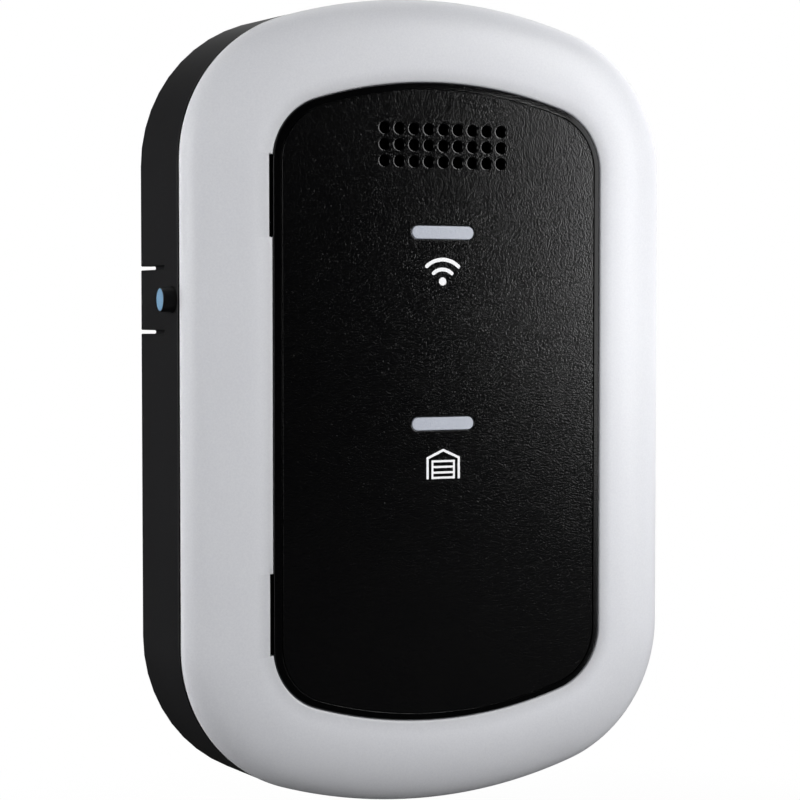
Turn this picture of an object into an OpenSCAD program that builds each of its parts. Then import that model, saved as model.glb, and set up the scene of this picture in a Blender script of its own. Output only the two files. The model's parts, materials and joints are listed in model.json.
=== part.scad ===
/* [Casing] */
// Width across the straight sides, at the wall
casing_w = 101.7; // [98:0.1:108]
// Height over the arched ends, at the wall
casing_h = 153.4; // [148:0.1:162]
// Depth from the wall to the rim that carries the ring
casing_d = 19.6; // [19:0.1:22]
// Radius of the four corners, seen from the front
corner_r = 29; // [27:0.1:33]
// Radius of the arched ends, seen from the front
arch_r = 101; // [92:0.1:112]
// Thickness of the side wall at its back edge
casing_wall = 2.2; // [1.8:0.1:2.4]
// Depth of the casing in front of the recess in its back
tub_d = 11.1; // [10.8:0.1:11.6]
// Thickness of the rear panel
panel_t = 2; // [1.6:0.1:2.2]
// Height of the bosses that carry the board
board_boss_h = 1.5; // [1.2:0.1:1.8]
// Radius of the bosses that carry the board
board_boss_r = 3.6; // [3:0.1:4.5]

/* [Light ring] */
// Distance that the ring's outer edge and the casing's front edge lie inside the outline at the wall
ring_ledge = 0.8; // [0.4:0.05:1]
// Height of the shadow gap between the casing's front edge and the ring
shadow_gap = 1.1; // [0.6:0.1:1.2]
// Depth of the shadow gap behind the ring's outer edge
shadow_gap_w = 0.6; // [0.4:0.1:0.8]
// Width of the ring, seen from the front
ring_w = 15.9; // [14:0.05:18]
// Distance from the ring's outer edge to its crown
ring_crown = 12; // [9:0.1:13.5]
// Height of the crown over the casing's rim
ring_rise = 5.9; // [5.4:0.1:6]
// Thickness of the ring's opal skin
ring_skin = 1.8; // [1.4:0.1:2]
// Gap between the ring's spigot and the casing wall
spigot_gap = 0.15; // [0.1:0.05:0.3]
// Thickness of the spigot
spigot_t = 1.5; // [1.2:0.1:1.8]
// Depth of the spigot in the casing
spigot_d = 2.6; // [2:0.1:3]
// Width of the ledge that the cover sits on
seat_w = 1.4; // [1:0.1:2]
// Thickness of that ledge
seat_t = 1.8; // [1.2:0.1:2.2]

/* [Front cover] */
// Distance that the cover's face stands in front of the casing's rim
cover_rise = 6.1; // [5.9:0.1:6.6]
// Thickness of the cover
cover_t = 2.2; // [1.8:0.1:2.4]
// Gap all round between the cover and the ring
cover_gap = 0.15; // [0.1:0.05:0.25]
// Width of the bevelled rim
rim_w = 1.3; // [0.8:0.1:1.8]
// Drop of the bevelled rim at its outer edge
rim_drop = 0.5; // [0.3:0.05:0.7]
// Width of the fine groove inside the rim
groove_w = 0.25; // [0.2:0.05:0.4]
// Depth of the fine groove
groove_d = 0.3; // [0.2:0.05:0.5]
// Length of each of the two lugs in the cover's left edge
lug_l = 15; // [10:0.5:18]
// Height of the lugs' centres above and below the middle
lug_z = 38.1; // [30:0.1:40]
// Distance that the ring's notches reach past the cover's edge
lug_notch = 0.65; // [0.5:0.05:0.9]
// Distance of the lugs' front below the cover's face
lug_drop = 1.3; // [1:0.1:1.6]
// Distance of the screw bosses from the sides of the ring's opening
boss_side = 7.2; // [6.5:0.1:9]
// Distance of the screw bosses from the ends of the ring's opening
boss_end = 13.05; // [12:0.05:16]
// Radius of the screw bosses
boss_r = 3.2; // [2.8:0.1:3.6]

/* [Sound grille] */
// Holes in a row
grille_columns = 9; // [5:2:9]
// Rows of holes
grille_rows = 3; // [1:2:3]
// Distance between holes
grille_pitch = 3.03; // [2.8:0.01:3.3]
// Diameter of each hole
grille_hole = 2.05; // [1.6:0.05:2.3]
// Distance of the grille's middle from the top of the ring's opening
grille_drop = 11.9; // [11:0.05:14]
// Margin of the dust cloth round the holes
cloth_margin = 1.5; // [1:0.1:1.8]
// Thickness of the dust cloth
cloth_t = 0.3; // [0.2:0.05:0.5]

/* [Light pipes] */
// Length of each light pipe's bar
pipe_l = 13; // [9:0.1:15]
// Height of each bar
pipe_h = 2.5; // [1.6:0.1:3]
// Gap between a bar and its slot
pipe_gap = 0.1; // [0.05:0.05:0.2]
// Distance of the bar's front below the cover's face
pipe_sink = 0.15; // [0.1:0.05:0.3]
// Width of the glued flange round each bar
pipe_flange = 1.3; // [0.8:0.1:2]
// Thickness of the glued flange
pipe_flange_t = 1.2; // [0.8:0.1:1.6]
// Gap between a light pipe and its lamp
pipe_lamp_gap = 0.3; // [0.2:0.05:0.4]
// Distance of the upper bar below the grille's middle
wifi_pipe_drop = 16.14; // [15:0.02:22]
// Distance between the upper bar and the lower one
pipe_pitch = 35.86; // [32:0.02:42]

/* [Board] */
// Distance of the board's edge from the casing's outside
board_inset = 4.2; // [4.1:0.1:5]
// Thickness of the board
board_t = 1.6; // [1.2:0.1:1.6]
// Distance of the ring lamps from the casing's outside
lamp_inset = 10; // [9:0.1:11]
// Length of a ring lamp
lamp_l = 3.5; // [2.8:0.1:4]
// Width of a ring lamp
lamp_w = 2.8; // [2:0.1:3.2]
// Height of a ring lamp
lamp_h = 0.9; // [0.7:0.1:1.2]
// Distance between lamps along the straight sides
lamp_pitch = 24; // [18:0.5:26]
// Lamps along each straight side
lamp_side_count = 4; // [2:2:4]
// Side of a square status lamp
status_lamp_w = 3; // [2:0.1:3.5]
// Height of a status lamp
status_lamp_h = 1.6; // [1:0.1:2]

/* [Modules] */
// Width of the wireless module's board
wifi_w = 18; // [15:0.5:20]
// Length of the wireless module's board
wifi_l = 25.5; // [20:0.5:27]
// Thickness of the wireless module's board
wifi_t = 0.8; // [0.6:0.1:1]
// Place of the wireless module across the board
wifi_x = -20; // [-22:0.5:-18]
// Height of the wireless module's middle
wifi_z = 8.5; // [0:0.5:12]
// Height of the shield can
shield_h = 2.4; // [1.8:0.1:3]
// Margin of the shield can from the module's sides
shield_margin = 1; // [0.5:0.1:1.5]
// Length of the bare aerial end of the module
aerial_end = 6.5; // [5:0.5:8]
// Width of the radio module
radio_w = 14; // [10:0.5:16]
// Length of the radio module
radio_l = 22; // [16:0.5:24]
// Height of the radio module
radio_h = 3.2; // [2:0.1:4]
// Place of the radio module across the board
radio_x = 18; // [16:0.5:20]
// Height of the radio module's middle
radio_z = 7; // [0:0.5:12]
// Length of the radio aerial
aerial_l = 42; // [34:0.5:50]
// Radius of the radio aerial
aerial_r = 0.5; // [0.4:0.05:0.7]
// Height of the aerial over the board
aerial_h = 3; // [2:0.1:4]
// Gap between the radio module and the aerial
aerial_gap = 3; // [2:0.1:4]
// Side of the square microcontroller
mcu_w = 10; // [7:0.5:12]
// Height of the microcontroller
mcu_h = 1.4; // [1:0.1:1.8]
// Height of the microcontroller's middle
mcu_z = 14; // [10:0.5:18]

/* [Power parts] */
// Width of the power inductor
inductor_w = 7; // [5:0.5:8]
// Height of the power inductor
inductor_h = 4; // [3:0.1:5]
// Distance of the power row's middle from the opener relay
power_gap = 10.5; // [9:0.5:14]
// Distance between the parts of the power row
power_pitch = 12; // [11:0.5:13]
// Radius of a power capacitor
capacitor_r = 3.15; // [2.5:0.05:4]
// Height of a power capacitor
capacitor_h = 7.7; // [5:0.1:8]
// Width of the voltage regulator
regulator_w = 6.5; // [5:0.5:7]
// Length of the voltage regulator
regulator_l = 7; // [6:0.5:8]
// Height of the voltage regulator
regulator_h = 1.8; // [1.4:0.1:2.2]
// Width of the opener relay
relay_w = 10; // [8:0.5:12]
// Length of the opener relay
relay_l = 15; // [12:0.5:16]
// Height of the opener relay
relay_h = 8; // [6:0.1:9]
// Distance of the opener relay from the lower end of the ring's opening
relay_end = 2.5; // [2:0.05:4]

/* [Buzzer] */
// Radius of the buzzer
buzzer_r = 8; // [6:0.1:8.5]
// Height of the buzzer
buzzer_h = 6.5; // [5:0.1:7.5]
// Radius of the buzzer's sound port
buzzer_port_r = 1; // [0.8:0.1:1.6]
// Depth of the buzzer's sound port
buzzer_port_d = 1.5; // [1:0.1:2]
// Inner radius of the foam gasket
gasket_r = 6; // [4:0.1:6.5]

/* [Side button] */
// Radius of the button
button_r = 2.25; // [1.8:0.05:2.4]
// Distance that the button stands out past the casing's outline at the wall
button_out = 1.7; // [1.2:0.05:3]
// Height of the button over the middle
button_z = 19.3; // [14:0.1:26]
// Gap between the button and its hole
button_gap = 0.1; // [0.08:0.01:0.15]
// Radius of the flange that keeps the button in
button_flange_r = 2.9; // [2.7:0.05:3]
// Thickness of that flange
button_flange_t = 0.8; // [0.6:0.05:0.9]
// Distance that the button moves when it is pressed
button_travel = 0.5; // [0.3:0.05:0.6]
// Width of the black edge round the button's disc
disc_edge = 0.2; // [0.15:0.05:0.4]
// Thickness of the button's disc
disc_t = 0.6; // [0.4:0.05:0.8]
// Height of the switch's axis over the board
switch_axis_h = 2.2; // [2.1:0.05:2.4]
// Height of the switch body over the board
switch_h = 4.4; // [4:0.1:4.8]
// Length of the switch body
switch_l = 6; // [5:0.1:7]
// Depth of the switch body
switch_w = 3.6; // [3:0.1:4]
// Distance of the switch body from the board's edge
switch_edge = 0.5; // [0.4:0.05:0.8]
// Radius of the switch's plunger
plunger_r = 1; // [0.8:0.05:1.2]
// Gap between the plunger and its hole
plunger_gap = 0.05; // [0.04:0.01:0.08]
// Length of the plunger inside the switch body
plunger_in = 1.4; // [1.2:0.1:1.8]
// Width of the slits beside the tongue
slit_w = 0.7; // [0.5:0.05:1]
// Distance between the slits' middles
slit_pitch = 11.9; // [9:0.1:14]
// Length of the slits from the casing's back
slit_l = 3.8; // [3:0.1:8.4]
// Length of the grooves that carry the slits on, to where the tongue bends
slit_groove_l = 8.1; // [5:0.1:9]
// Thickness of the wall left under those grooves
slit_web = 0.6; // [0.5:0.05:0.9]
// Width of the gap that frees the tongue from the panel
tongue_gap = 1.6; // [1:0.1:2]

/* [Wall bracket] */
// Width of the bracket's plate
bracket_w = 34; // [30:0.5:38]
// Height of the bracket's plate
bracket_l = 56; // [52:0.5:60]
// Thickness of the bracket's plate
bracket_t = 2.4; // [2:0.1:3]
// Corner radius of the bracket's plate
bracket_corner = 4; // [2:0.5:6]
// Height of the bracket's middle over the casing's middle
bracket_z = 14; // [12:0.5:16]
// Distance between the bracket's screw holes
bracket_hole_pitch = 38; // [34:0.5:42]
// Diameter of the bracket's screw holes
bracket_hole = 4.4; // [3.5:0.1:5]
// Thickness of the bracket's two rails
rail_t = 2.2; // [1.8:0.1:2.6]
// Height of the rails and their flanges
rail_l = 30; // [24:0.5:31]
// Width of the flanges
flange_w = 5; // [4:0.1:6]
// Thickness of the flanges
flange_t = 2.2; // [1.8:0.1:2.4]
// Distance of the flanges from the wall
flange_d = 3.4; // [3.2:0.1:3.5]
// Gap between the flanges and the casing's runners
slide_gap = 0.3; // [0.2:0.05:0.3]
// Thickness of the runners' webs and stops
runner_t = 2; // [1.6:0.1:2.4]
// Thickness of the runners' lips
lip_t = 2; // [1.6:0.1:2.2]
// Gap between the runners' lips and the rails
lip_gap = 1.2; // [0.8:0.1:1.5]

/* [Connector bay] */
// Width of the bay's window in the rear panel
bay_w = 32; // [29:0.5:34]
// Height of the bay's window
bay_l = 20; // [18.5:0.5:21]
// Corner radius of the bay's window
bay_corner = 1.5; // [0.5:0.1:3]
// Distance of the bay's window from the casing's lower end
bay_edge = 6.7; // [6.5:0.1:7.5]
// Distance of the connectors from the window's upper edge
connector_margin = 0.4; // [0.3:0.1:0.6]
// Distance of each connector's middle from the casing's middle
connector_x = 7.5; // [7:0.1:8.5]
// Width of the cable notch
notch_w = 18; // [14:0.5:22]
// Depth of the cable notch
notch_d = 7; // [6:0.1:8]
// Width of the terminal block
terminal_w = 10.2; // [9.5:0.1:11]
// Length of the terminal block
terminal_l = 9; // [8:0.1:10]
// Height of the terminal block over the board's back
terminal_h = 8.5; // [7:0.1:9]
// Distance between the two terminals
terminal_pitch = 5.08; // [4.6:0.02:5.2]
// Radius of a wire's hole in the terminal block
wire_r = 1.3; // [1:0.05:1.5]
// Depth of a wire's hole
wire_d = 6; // [4:0.1:7]
// Height of the wire holes over the board's back
wire_h = 2.6; // [2:0.1:3]
// Radius of a terminal screw
terminal_screw_r = 1.7; // [1.4:0.05:1.9]
// Length of a terminal screw
terminal_screw_l = 3; // [2:0.1:3]
// Depth of a terminal screw's head below the block's face
terminal_screw_sink = 0.5; // [0.3:0.1:0.8]
// Gap round a terminal screw
terminal_screw_gap = 0.1; // [0.05:0.05:0.15]
// Width of a screwdriver slot
driver_slot_w = 0.6; // [0.4:0.05:0.8]
// Depth of a screwdriver slot
driver_slot_d = 0.6; // [0.4:0.05:0.9]
// Width of the power jack
jack_w = 6.4; // [6:0.1:7]
// Length of the power jack
jack_l = 10; // [9:0.1:11]
// Height of the power jack over the board's back
jack_h = 6; // [5.5:0.1:6.5]
// Radius of the power jack's socket
jack_socket_r = 1.75; // [1.6:0.05:2]
// Depth of the power jack's socket
jack_socket_d = 8.5; // [7:0.1:8.5]
// Radius of the power jack's pin
jack_pin_r = 0.65; // [0.5:0.05:0.8]
// Distance of the pin's tip below the socket's mouth
jack_pin_sink = 1; // [0.5:0.1:2]

/* [Casing screws] */
// Diameter of the screws
screw_d = 3; // [2.5:0.1:3]
// Length of the screws under the head
screw_l = 12; // [9:0.5:13]
// Radius of the screws' heads
screw_head_r = 2.8; // [2.4:0.1:3]
// Thickness of the screws' heads
screw_head_t = 2.2; // [1.8:0.1:2.4]
// Side of the square driver recess in the heads
driver_w = 1.6; // [1.2:0.1:2]
// Depth of the driver recess
driver_d = 1.2; // [0.8:0.1:1.4]
// Gap round the screws in the panel and the board
screw_gap = 0.2; // [0.1:0.05:0.3]
// Gap round the screws in the cover's bosses
thread_gap = 0.05; // [0.04:0.01:0.08]

/* [Hidden] */

$fn = 48;
// Overshoot of cuts past the faces that they open
over = 1;
// Sink of added features into what they grow from
root = 0.5;
// Segments of each corner's arc and of each end's arch
corner_n = 10;
arch_n = 8;
// Places of the corner lamps, as shares of the corner's arc
corner_lamps = [0.4, 0.85];
// Segments of the ring's outer and inner section curves
dome_n = 10;
vault_n = 6;

// Centres of the outline's arcs, and the angle from upright at which they meet
corner_x = casing_w / 2 - corner_r;
arch_z = casing_h / 2 - arch_r;
corner_z = arch_z + sqrt(pow(arch_r - corner_r, 2) - pow(corner_x, 2));
join_a = atan2(corner_x, corner_z - arch_z);

// Depths in front of the wall
recess_d = casing_d - tub_d;
panel_front = recess_d + panel_t;
board_back = panel_front + board_boss_h;
board_front = board_back + board_t;
cover_face = casing_d + cover_rise;
cover_back = cover_face - cover_t;
button_d = board_front + switch_axis_h;
flange_front = flange_d + flange_t;
lip_back = flange_d - slide_gap - lip_t;

// Distances of the ring's edges from the casing's outside
ring_inner = ring_ledge + ring_w;
cover_edge = ring_inner + cover_gap;
spigot_outer = casing_wall + spigot_gap;
spigot_inner = spigot_outer + spigot_t;

// Places across and up the front
wall_x = casing_w / 2 - casing_wall;
boss_x = casing_w / 2 - ring_inner - boss_side;
boss_z = casing_h / 2 - ring_inner - boss_end;
grille_z = casing_h / 2 - ring_inner - grille_drop;
wifi_pipe_z = grille_z - wifi_pipe_drop;
door_pipe_z = wifi_pipe_z - pipe_pitch;
relay_z = ring_inner + relay_end + relay_l / 2 - casing_h / 2;
power_z = relay_z + relay_l / 2 + power_gap;
runner_x = bracket_w / 2 + lip_gap;
web_x = bracket_w / 2 + flange_w + slide_gap;
rail_top = bracket_z + rail_l / 2;
bay_z0 = bay_edge - casing_h / 2;
bay_z1 = bay_z0 + bay_l;
connector_top = bay_z1 - connector_margin;
terminal_z = connector_top - terminal_l / 2;
jack_z = connector_top - jack_l / 2;
jack_mouth = connector_top - jack_l;
jack_d = board_back - jack_h / 2;
switch_x = board_inset + switch_edge - casing_w / 2;
button_end = button_flange_t + button_travel - wall_x;

// Points of an arc about c, with the first and last left out on request
function arc(c, r, a0, a1, n, skip = 0) =
    [for (i = [skip:n - skip]) let (a = a0 + (a1 - a0) * i / n) [c[0] + r * cos(a), c[1] + r * sin(a)]];

// The casing's outline seen from the front, moved in by inset: two arched ends, four corners, two sides
function outline(inset) =
    let (rc = corner_r - inset, ra = arch_r - inset, j = join_a)
    concat(
        arc([corner_x, corner_z], rc, 0, 90 - j, corner_n),
        arc([0, arch_z], ra, 90 - j, 90 + j, arch_n, 1),
        arc([-corner_x, corner_z], rc, 90 + j, 180, corner_n),
        arc([-corner_x, -corner_z], rc, 180, 270 - j, corner_n),
        arc([0, -arch_z], ra, 270 - j, 270 + j, arch_n, 1),
        arc([corner_x, -corner_z], rc, 270 + j, 360, corner_n)
    );

// A rectangle with round corners, as an outline
function rounded(w, l, r) =
    let (x = w / 2 - r, z = l / 2 - r)
    concat(
        arc([x, z], r, 0, 90, corner_n),
        arc([-x, z], r, 90, 180, corner_n),
        arc([-x, -z], r, 180, 270, corner_n),
        arc([x, -z], r, 270, 360, corner_n)
    );

// A bar with round ends, as an outline
function bar(l, h) =
    let (s = (l - h) / 2)
    concat(arc([s, 0], h / 2, -90, 90, corner_n), arc([-s, 0], h / 2, 90, 270, corner_n));

// Half of an ellipse's arch: distance in from the casing's outside, and depth, at angle a
function dome(a, half, rise) = [ring_ledge + ring_crown - half * cos(a), casing_d + rise * sin(a)];
// Angle at which that arch lies at a distance u in from the ring's outer edge
function dome_angle(u, half) = acos((ring_crown - u) / half);

// The ring's section: dome, edge of the opening, seat for the cover, vault, spigot
function ring_section() =
    let (
        half = ring_crown - ring_skin,
        rise = ring_rise - ring_skin,
        a0 = dome_angle(ring_w - ring_skin, half),
        a1 = dome_angle(spigot_inner - ring_ledge, half),
        seat = cover_back - seat_t
    )
    concat(
        [for (i = [0:dome_n]) dome(dome_angle(ring_w, ring_crown) * i / dome_n, ring_crown, ring_rise)],
        [
            [ring_inner, cover_back], [ring_inner + seat_w, cover_back], [ring_inner + seat_w, seat],
            [ring_inner - ring_skin, seat]
        ],
        [for (i = [0:vault_n]) dome(a0 + (a1 - a0) * i / vault_n, half, rise)],
        [
            [spigot_inner, casing_d - spigot_d], [spigot_outer, casing_d - spigot_d],
            [spigot_outer, casing_d]
        ]
    );

// Pushes a flat shape, drawn as seen from the front, from depth d0 to depth d1
module forward(d0, d1) {
    translate([0, -d0, 0])
        rotate([90, 0, 0])
            linear_extrude(d1 - d0)
                children();
}

// A plate with the casing's outline moved in
module plate(inset, d0, d1) {
    forward(d0, d1)
        polygon(outline(inset));
}

// A box given by its middle seen from the front, its width and length, and its depths
module block(x, z, w, l, d0, d1) {
    translate([x - w / 2, -d1, z - l / 2])
        cube([w, d1 - d0, l]);
}

// A round post that points to the front
module post(x, z, r, d0, d1) {
    translate([x, -d0, z])
        rotate([90, 0, 0])
            cylinder(h = d1 - d0, r = r);
}

// A round rod along X, in front of the wall by depth d
module rod_x(x0, x1, z, d, r) {
    translate([x0, -d, z])
        rotate([0, 90, 0])
            cylinder(h = x1 - x0, r = r);
}

// A round rod along Z, in front of the wall by depth d
module rod_z(x, z0, z1, d, r) {
    translate([x, -d, z0])
        cylinder(h = z1 - z0, r = r);
}

// Carries a section of distances and depths round the casing's outline
module swept(section) {
    m = len(outline(0));
    n = len(section);
    points = [for (s = section) for (p = outline(s[0])) [p[0], -s[1], p[1]]];
    faces = [
        for (i = [0:n - 1]) for (j = [0:m - 1])
            let (i2 = (i + 1) % n, j2 = (j + 1) % m)
            [i * m + j, i2 * m + j, i2 * m + j2, i * m + j2]
    ];
    polyhedron(points, faces);
}

// A plate whose outline changes evenly from one distance and depth to another
module bevelled(from, to) {
    m = len(outline(0));
    points = [for (s = [from, to]) for (p = outline(s[0])) [p[0], -s[1], p[1]]];
    sides = [for (j = [0:m - 1]) let (k = (j + 1) % m) [j, m + j, m + k, k]];
    back = [for (j = [0:m - 1]) j];
    front = [for (j = [m - 1:-1:0]) m + j];
    polyhedron(points, concat(sides, [back, front]));
}

module at_screws() {
    for (sx = [-1, 1])
        for (sz = [-1, 1])
            translate([sx * boss_x, 0, sz * boss_z])
                children();
}

// The bar of a light pipe, or the slot for it
module pipe_bar(z, grow, d0, d1) {
    translate([0, 0, z])
        forward(d0, d1)
            polygon(bar(pipe_l + 2 * grow, pipe_h + 2 * grow));
}

module light_pipe(z, lamp_top) {
    pipe_bar(z, 0, lamp_top + pipe_lamp_gap, cover_face - pipe_sink);
    pipe_bar(z, pipe_flange, cover_back - pipe_flange_t, cover_back);
}

// One of the two runners that the bracket's flanges slide in
module runner() {
    l = rail_l;
    lip_w = web_x - runner_x;
    lip_x = (web_x + runner_x) / 2;
    full_w = lip_w + runner_t;
    full_x = runner_x + full_w / 2;
    block(web_x + runner_t / 2, bracket_z, runner_t, l, lip_back, recess_d + root);
    block(lip_x + root / 2, bracket_z, lip_w + root, l, lip_back, lip_back + lip_t);
    block(lip_x + root / 2, bracket_z, lip_w + root, l, flange_front + slide_gap, recess_d + root);
    block(full_x, rail_top + runner_t / 2, full_w, runner_t, lip_back, recess_d + root);
}

module wall_bracket() {
    color([0.16, 0.16, 0.17])
        difference() {
            union() {
                translate([0, 0, bracket_z])
                    forward(0, bracket_t)
                        polygon(rounded(bracket_w, bracket_l, bracket_corner));
                for (s = [-1, 1]) {
                    block(s * (bracket_w - rail_t) / 2, bracket_z, rail_t, rail_l, 0, flange_front);
                    block(
                        s * (bracket_w - rail_t + flange_w) / 2, bracket_z,
                        rail_t + flange_w, rail_l, flange_d, flange_front
                    );
                }
            }
            for (s = [-1, 1])
                post(0, bracket_z + s * bracket_hole_pitch / 2, bracket_hole / 2, -over, bracket_t + over);
        }
}

module rear_housing() {
    color([0.14, 0.14, 0.15])
        difference() {
            union() {
                difference() {
                    union() {
                        bevelled([0, 0], [ring_ledge, casing_d - shadow_gap]);
                        plate(ring_ledge + shadow_gap_w, casing_d - shadow_gap - root, casing_d);
                    }
                    plate(casing_wall, -over, recess_d);
                    plate(casing_wall, panel_front, casing_d + over);
                }
                at_screws()
                    post(0, 0, board_boss_r, panel_front - root, board_back);
                for (s = [0, 1])
                    mirror([s, 0, 0])
                        runner();
            }
            at_screws()
                post(0, 0, screw_d / 2 + screw_gap, recess_d - over, board_back + over);
            translate([0, 0, (bay_z0 + bay_z1) / 2])
                forward(recess_d - over, panel_front + over)
                    polygon(rounded(bay_w, bay_l, bay_corner));
            block(0, bay_z0 - bay_edge, notch_w, 2 * bay_edge, -over, notch_d);
            for (s = [-1, 1]) {
                z = button_z + s * slit_pitch / 2;
                block(-casing_w / 2, z, 2 * casing_wall, slit_w, -over, slit_l);
                block(
                    -casing_w / 2, z, 2 * (casing_wall - slit_web), slit_w,
                    slit_l - root, slit_l + slit_groove_l
                );
            }
            block(
                tongue_gap / 2 - wall_x, button_z,
                tongue_gap, slit_pitch + slit_w, recess_d - over, panel_front + over
            );
            rod_x(-casing_w / 2 - over, -wall_x + over, button_z, button_d, button_r + button_gap);
        }
}

module light_ring() {
    opening_x = casing_w / 2 - ring_inner;
    color([0.93, 0.93, 0.94])
        difference() {
            swept(ring_section());
            for (sz = [-1, 1])
                block(-opening_x, sz * lug_z, 2 * lug_notch, lug_l, cover_back, cover_face + over);
            block(
                -wall_x, button_z, 2 * (spigot_inner - casing_wall + over),
                2 * (button_flange_r + root), casing_d - spigot_d - over, casing_d
            );
        }
}

module front_cover() {
    edge_x = casing_w / 2 - cover_edge;
    lug_out = lug_notch - cover_gap;
    color([0.1, 0.1, 0.11])
        difference() {
            union() {
                plate(cover_edge, cover_back, cover_face - rim_drop);
                bevelled([cover_edge, cover_face - rim_drop], [cover_edge + rim_w, cover_face]);
                for (sz = [-1, 1])
                    block(
                        -edge_x - (lug_out - root) / 2, sz * lug_z, lug_out + root,
                        lug_l - 2 * cover_gap, cover_back, cover_face - lug_drop
                    );
                at_screws()
                    post(0, 0, boss_r, board_front, cover_back + root);
            }
            difference() {
                plate(cover_edge + rim_w, cover_face - groove_d, cover_face + over);
                plate(cover_edge + rim_w + groove_w, cover_face - groove_d - over, cover_face + 2 * over);
            }
            for (i = [0:grille_columns - 1])
                for (j = [0:grille_rows - 1])
                    post(
                        (i - (grille_columns - 1) / 2) * grille_pitch,
                        grille_z + (j - (grille_rows - 1) / 2) * grille_pitch,
                        grille_hole / 2, cover_back - over, cover_face + over
                    );
            for (z = [wifi_pipe_z, door_pipe_z])
                pipe_bar(z, pipe_gap, cover_back - over, cover_face + over);
            at_screws()
                post(0, 0, screw_d / 2 + thread_gap, board_front - over, recess_d + screw_l + root);
        }
}

module wifi_light_pipe() {
    color([0.72, 0.74, 0.79])
        light_pipe(wifi_pipe_z, board_front + status_lamp_h);
}

module door_light_pipe() {
    color([0.72, 0.74, 0.79])
        light_pipe(door_pipe_z, board_front + status_lamp_h);
}

module grille_cloth() {
    color([0.05, 0.05, 0.05])
        block(
            0, grille_z,
            (grille_columns - 1) * grille_pitch + grille_hole + 2 * cloth_margin,
            (grille_rows - 1) * grille_pitch + grille_hole + 2 * cloth_margin,
            cover_back - cloth_t, cover_back
        );
}

module main_board() {
    color([0.06, 0.3, 0.16])
        difference() {
            plate(board_inset, board_back, board_front);
            at_screws()
                post(0, 0, screw_d / 2 + screw_gap, board_back - over, board_front + over);
        }
}

module lamp() {
    block(0, 0, lamp_w, lamp_l, board_front, board_front + lamp_h);
}

// Lamps on the straight sides, then on the corners and arched ends
module ring_leds() {
    side_x = casing_w / 2 - lamp_inset;
    corner_lamp_r = corner_r - lamp_inset;
    arch_lamp_r = arch_r - lamp_inset;
    color([0.95, 0.9, 0.7])
        for (sx = [0, 1])
            mirror([sx, 0, 0]) {
                for (i = [0:lamp_side_count - 1])
                    translate([side_x, 0, (i - (lamp_side_count - 1) / 2) * lamp_pitch])
                        lamp();
                for (sz = [0, 1])
                    mirror([0, 0, sz]) {
                        for (share = corner_lamps)
                            translate([corner_x, 0, corner_z])
                                rotate([0, -share * (90 - join_a), 0])
                                    translate([corner_lamp_r, 0, 0])
                                        lamp();
                        translate([0, 0, arch_z])
                            rotate([0, join_a / 2 - 90, 0])
                                translate([arch_lamp_r, 0, 0])
                                    lamp();
                    }
            }
}

module status_leds() {
    color([0.95, 0.9, 0.7])
        for (z = [wifi_pipe_z, door_pipe_z])
            block(0, z, status_lamp_w, status_lamp_w, board_front, board_front + status_lamp_h);
}

module wifi_module() {
    color([0.05, 0.1, 0.2])
        block(wifi_x, wifi_z, wifi_w, wifi_l, board_front, board_front + wifi_t);
}

module wifi_shield() {
    color([0.75, 0.76, 0.78])
        block(
            wifi_x, wifi_z - (aerial_end - shield_margin) / 2,
            wifi_w - 2 * shield_margin, wifi_l - aerial_end - shield_margin,
            board_front + wifi_t, board_front + wifi_t + shield_h
        );
}

module radio_module() {
    color([0.08, 0.25, 0.12])
        block(radio_x, radio_z, radio_w, radio_l, board_front, board_front + radio_h);
}

// A stiff wire that stands on the board and runs along it
module radio_antenna() {
    x = radio_x + radio_w / 2 + aerial_gap;
    d = board_front + aerial_h;
    color([0.72, 0.45, 0.2]) {
        post(x, radio_z, aerial_r, board_front, d);
        rod_z(x, radio_z - aerial_l / 2, radio_z + aerial_l / 2, d, aerial_r);
    }
}

module microcontroller() {
    color([0.08, 0.08, 0.09])
        block(0, mcu_z, mcu_w, mcu_w, board_front, board_front + mcu_h);
}

module voltage_regulator() {
    color([0.08, 0.08, 0.09])
        block(
            -1.5 * power_pitch, power_z, regulator_w, regulator_l,
            board_front, board_front + regulator_h
        );
}

module power_inductor() {
    color([0.25, 0.25, 0.27])
        block(-power_pitch / 2, power_z, inductor_w, inductor_w, board_front, board_front + inductor_h);
}

module power_capacitors() {
    color([0.7, 0.71, 0.73])
        for (i = [0.5, 1.5])
            post(i * power_pitch, power_z, capacitor_r, board_front, board_front + capacitor_h);
}

module opener_relay() {
    color([0.1, 0.15, 0.35])
        block(0, relay_z, relay_w, relay_l, board_front, board_front + relay_h);
}

module buzzer() {
    top = board_front + buzzer_h;
    color([0.07, 0.07, 0.08])
        difference() {
            post(0, grille_z, buzzer_r, board_front, top);
            post(0, grille_z, buzzer_port_r, top - buzzer_port_d, top + over);
        }
}

module buzzer_gasket() {
    back = board_front + buzzer_h;
    front = cover_back - cloth_t;
    color([0.12, 0.12, 0.12])
        difference() {
            post(0, grille_z, buzzer_r, back, front);
            post(0, grille_z, gasket_r, back - over, front + over);
        }
}

module at_terminals() {
    for (s = [-1, 1])
        translate([connector_x + s * terminal_pitch / 2, 0, 0])
            children();
}

module terminal_block() {
    face = board_back - terminal_h;
    mouth = terminal_z - terminal_l / 2;
    sink = terminal_screw_sink + terminal_screw_l;
    color([0.2, 0.45, 0.28])
        difference() {
            block(connector_x, terminal_z, terminal_w, terminal_l, face, board_back);
            at_terminals() {
                rod_z(0, mouth - over, mouth + wire_d, board_back - wire_h, wire_r);
                post(0, terminal_z, terminal_screw_r + terminal_screw_gap, face - over, face + sink);
            }
        }
}

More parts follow.
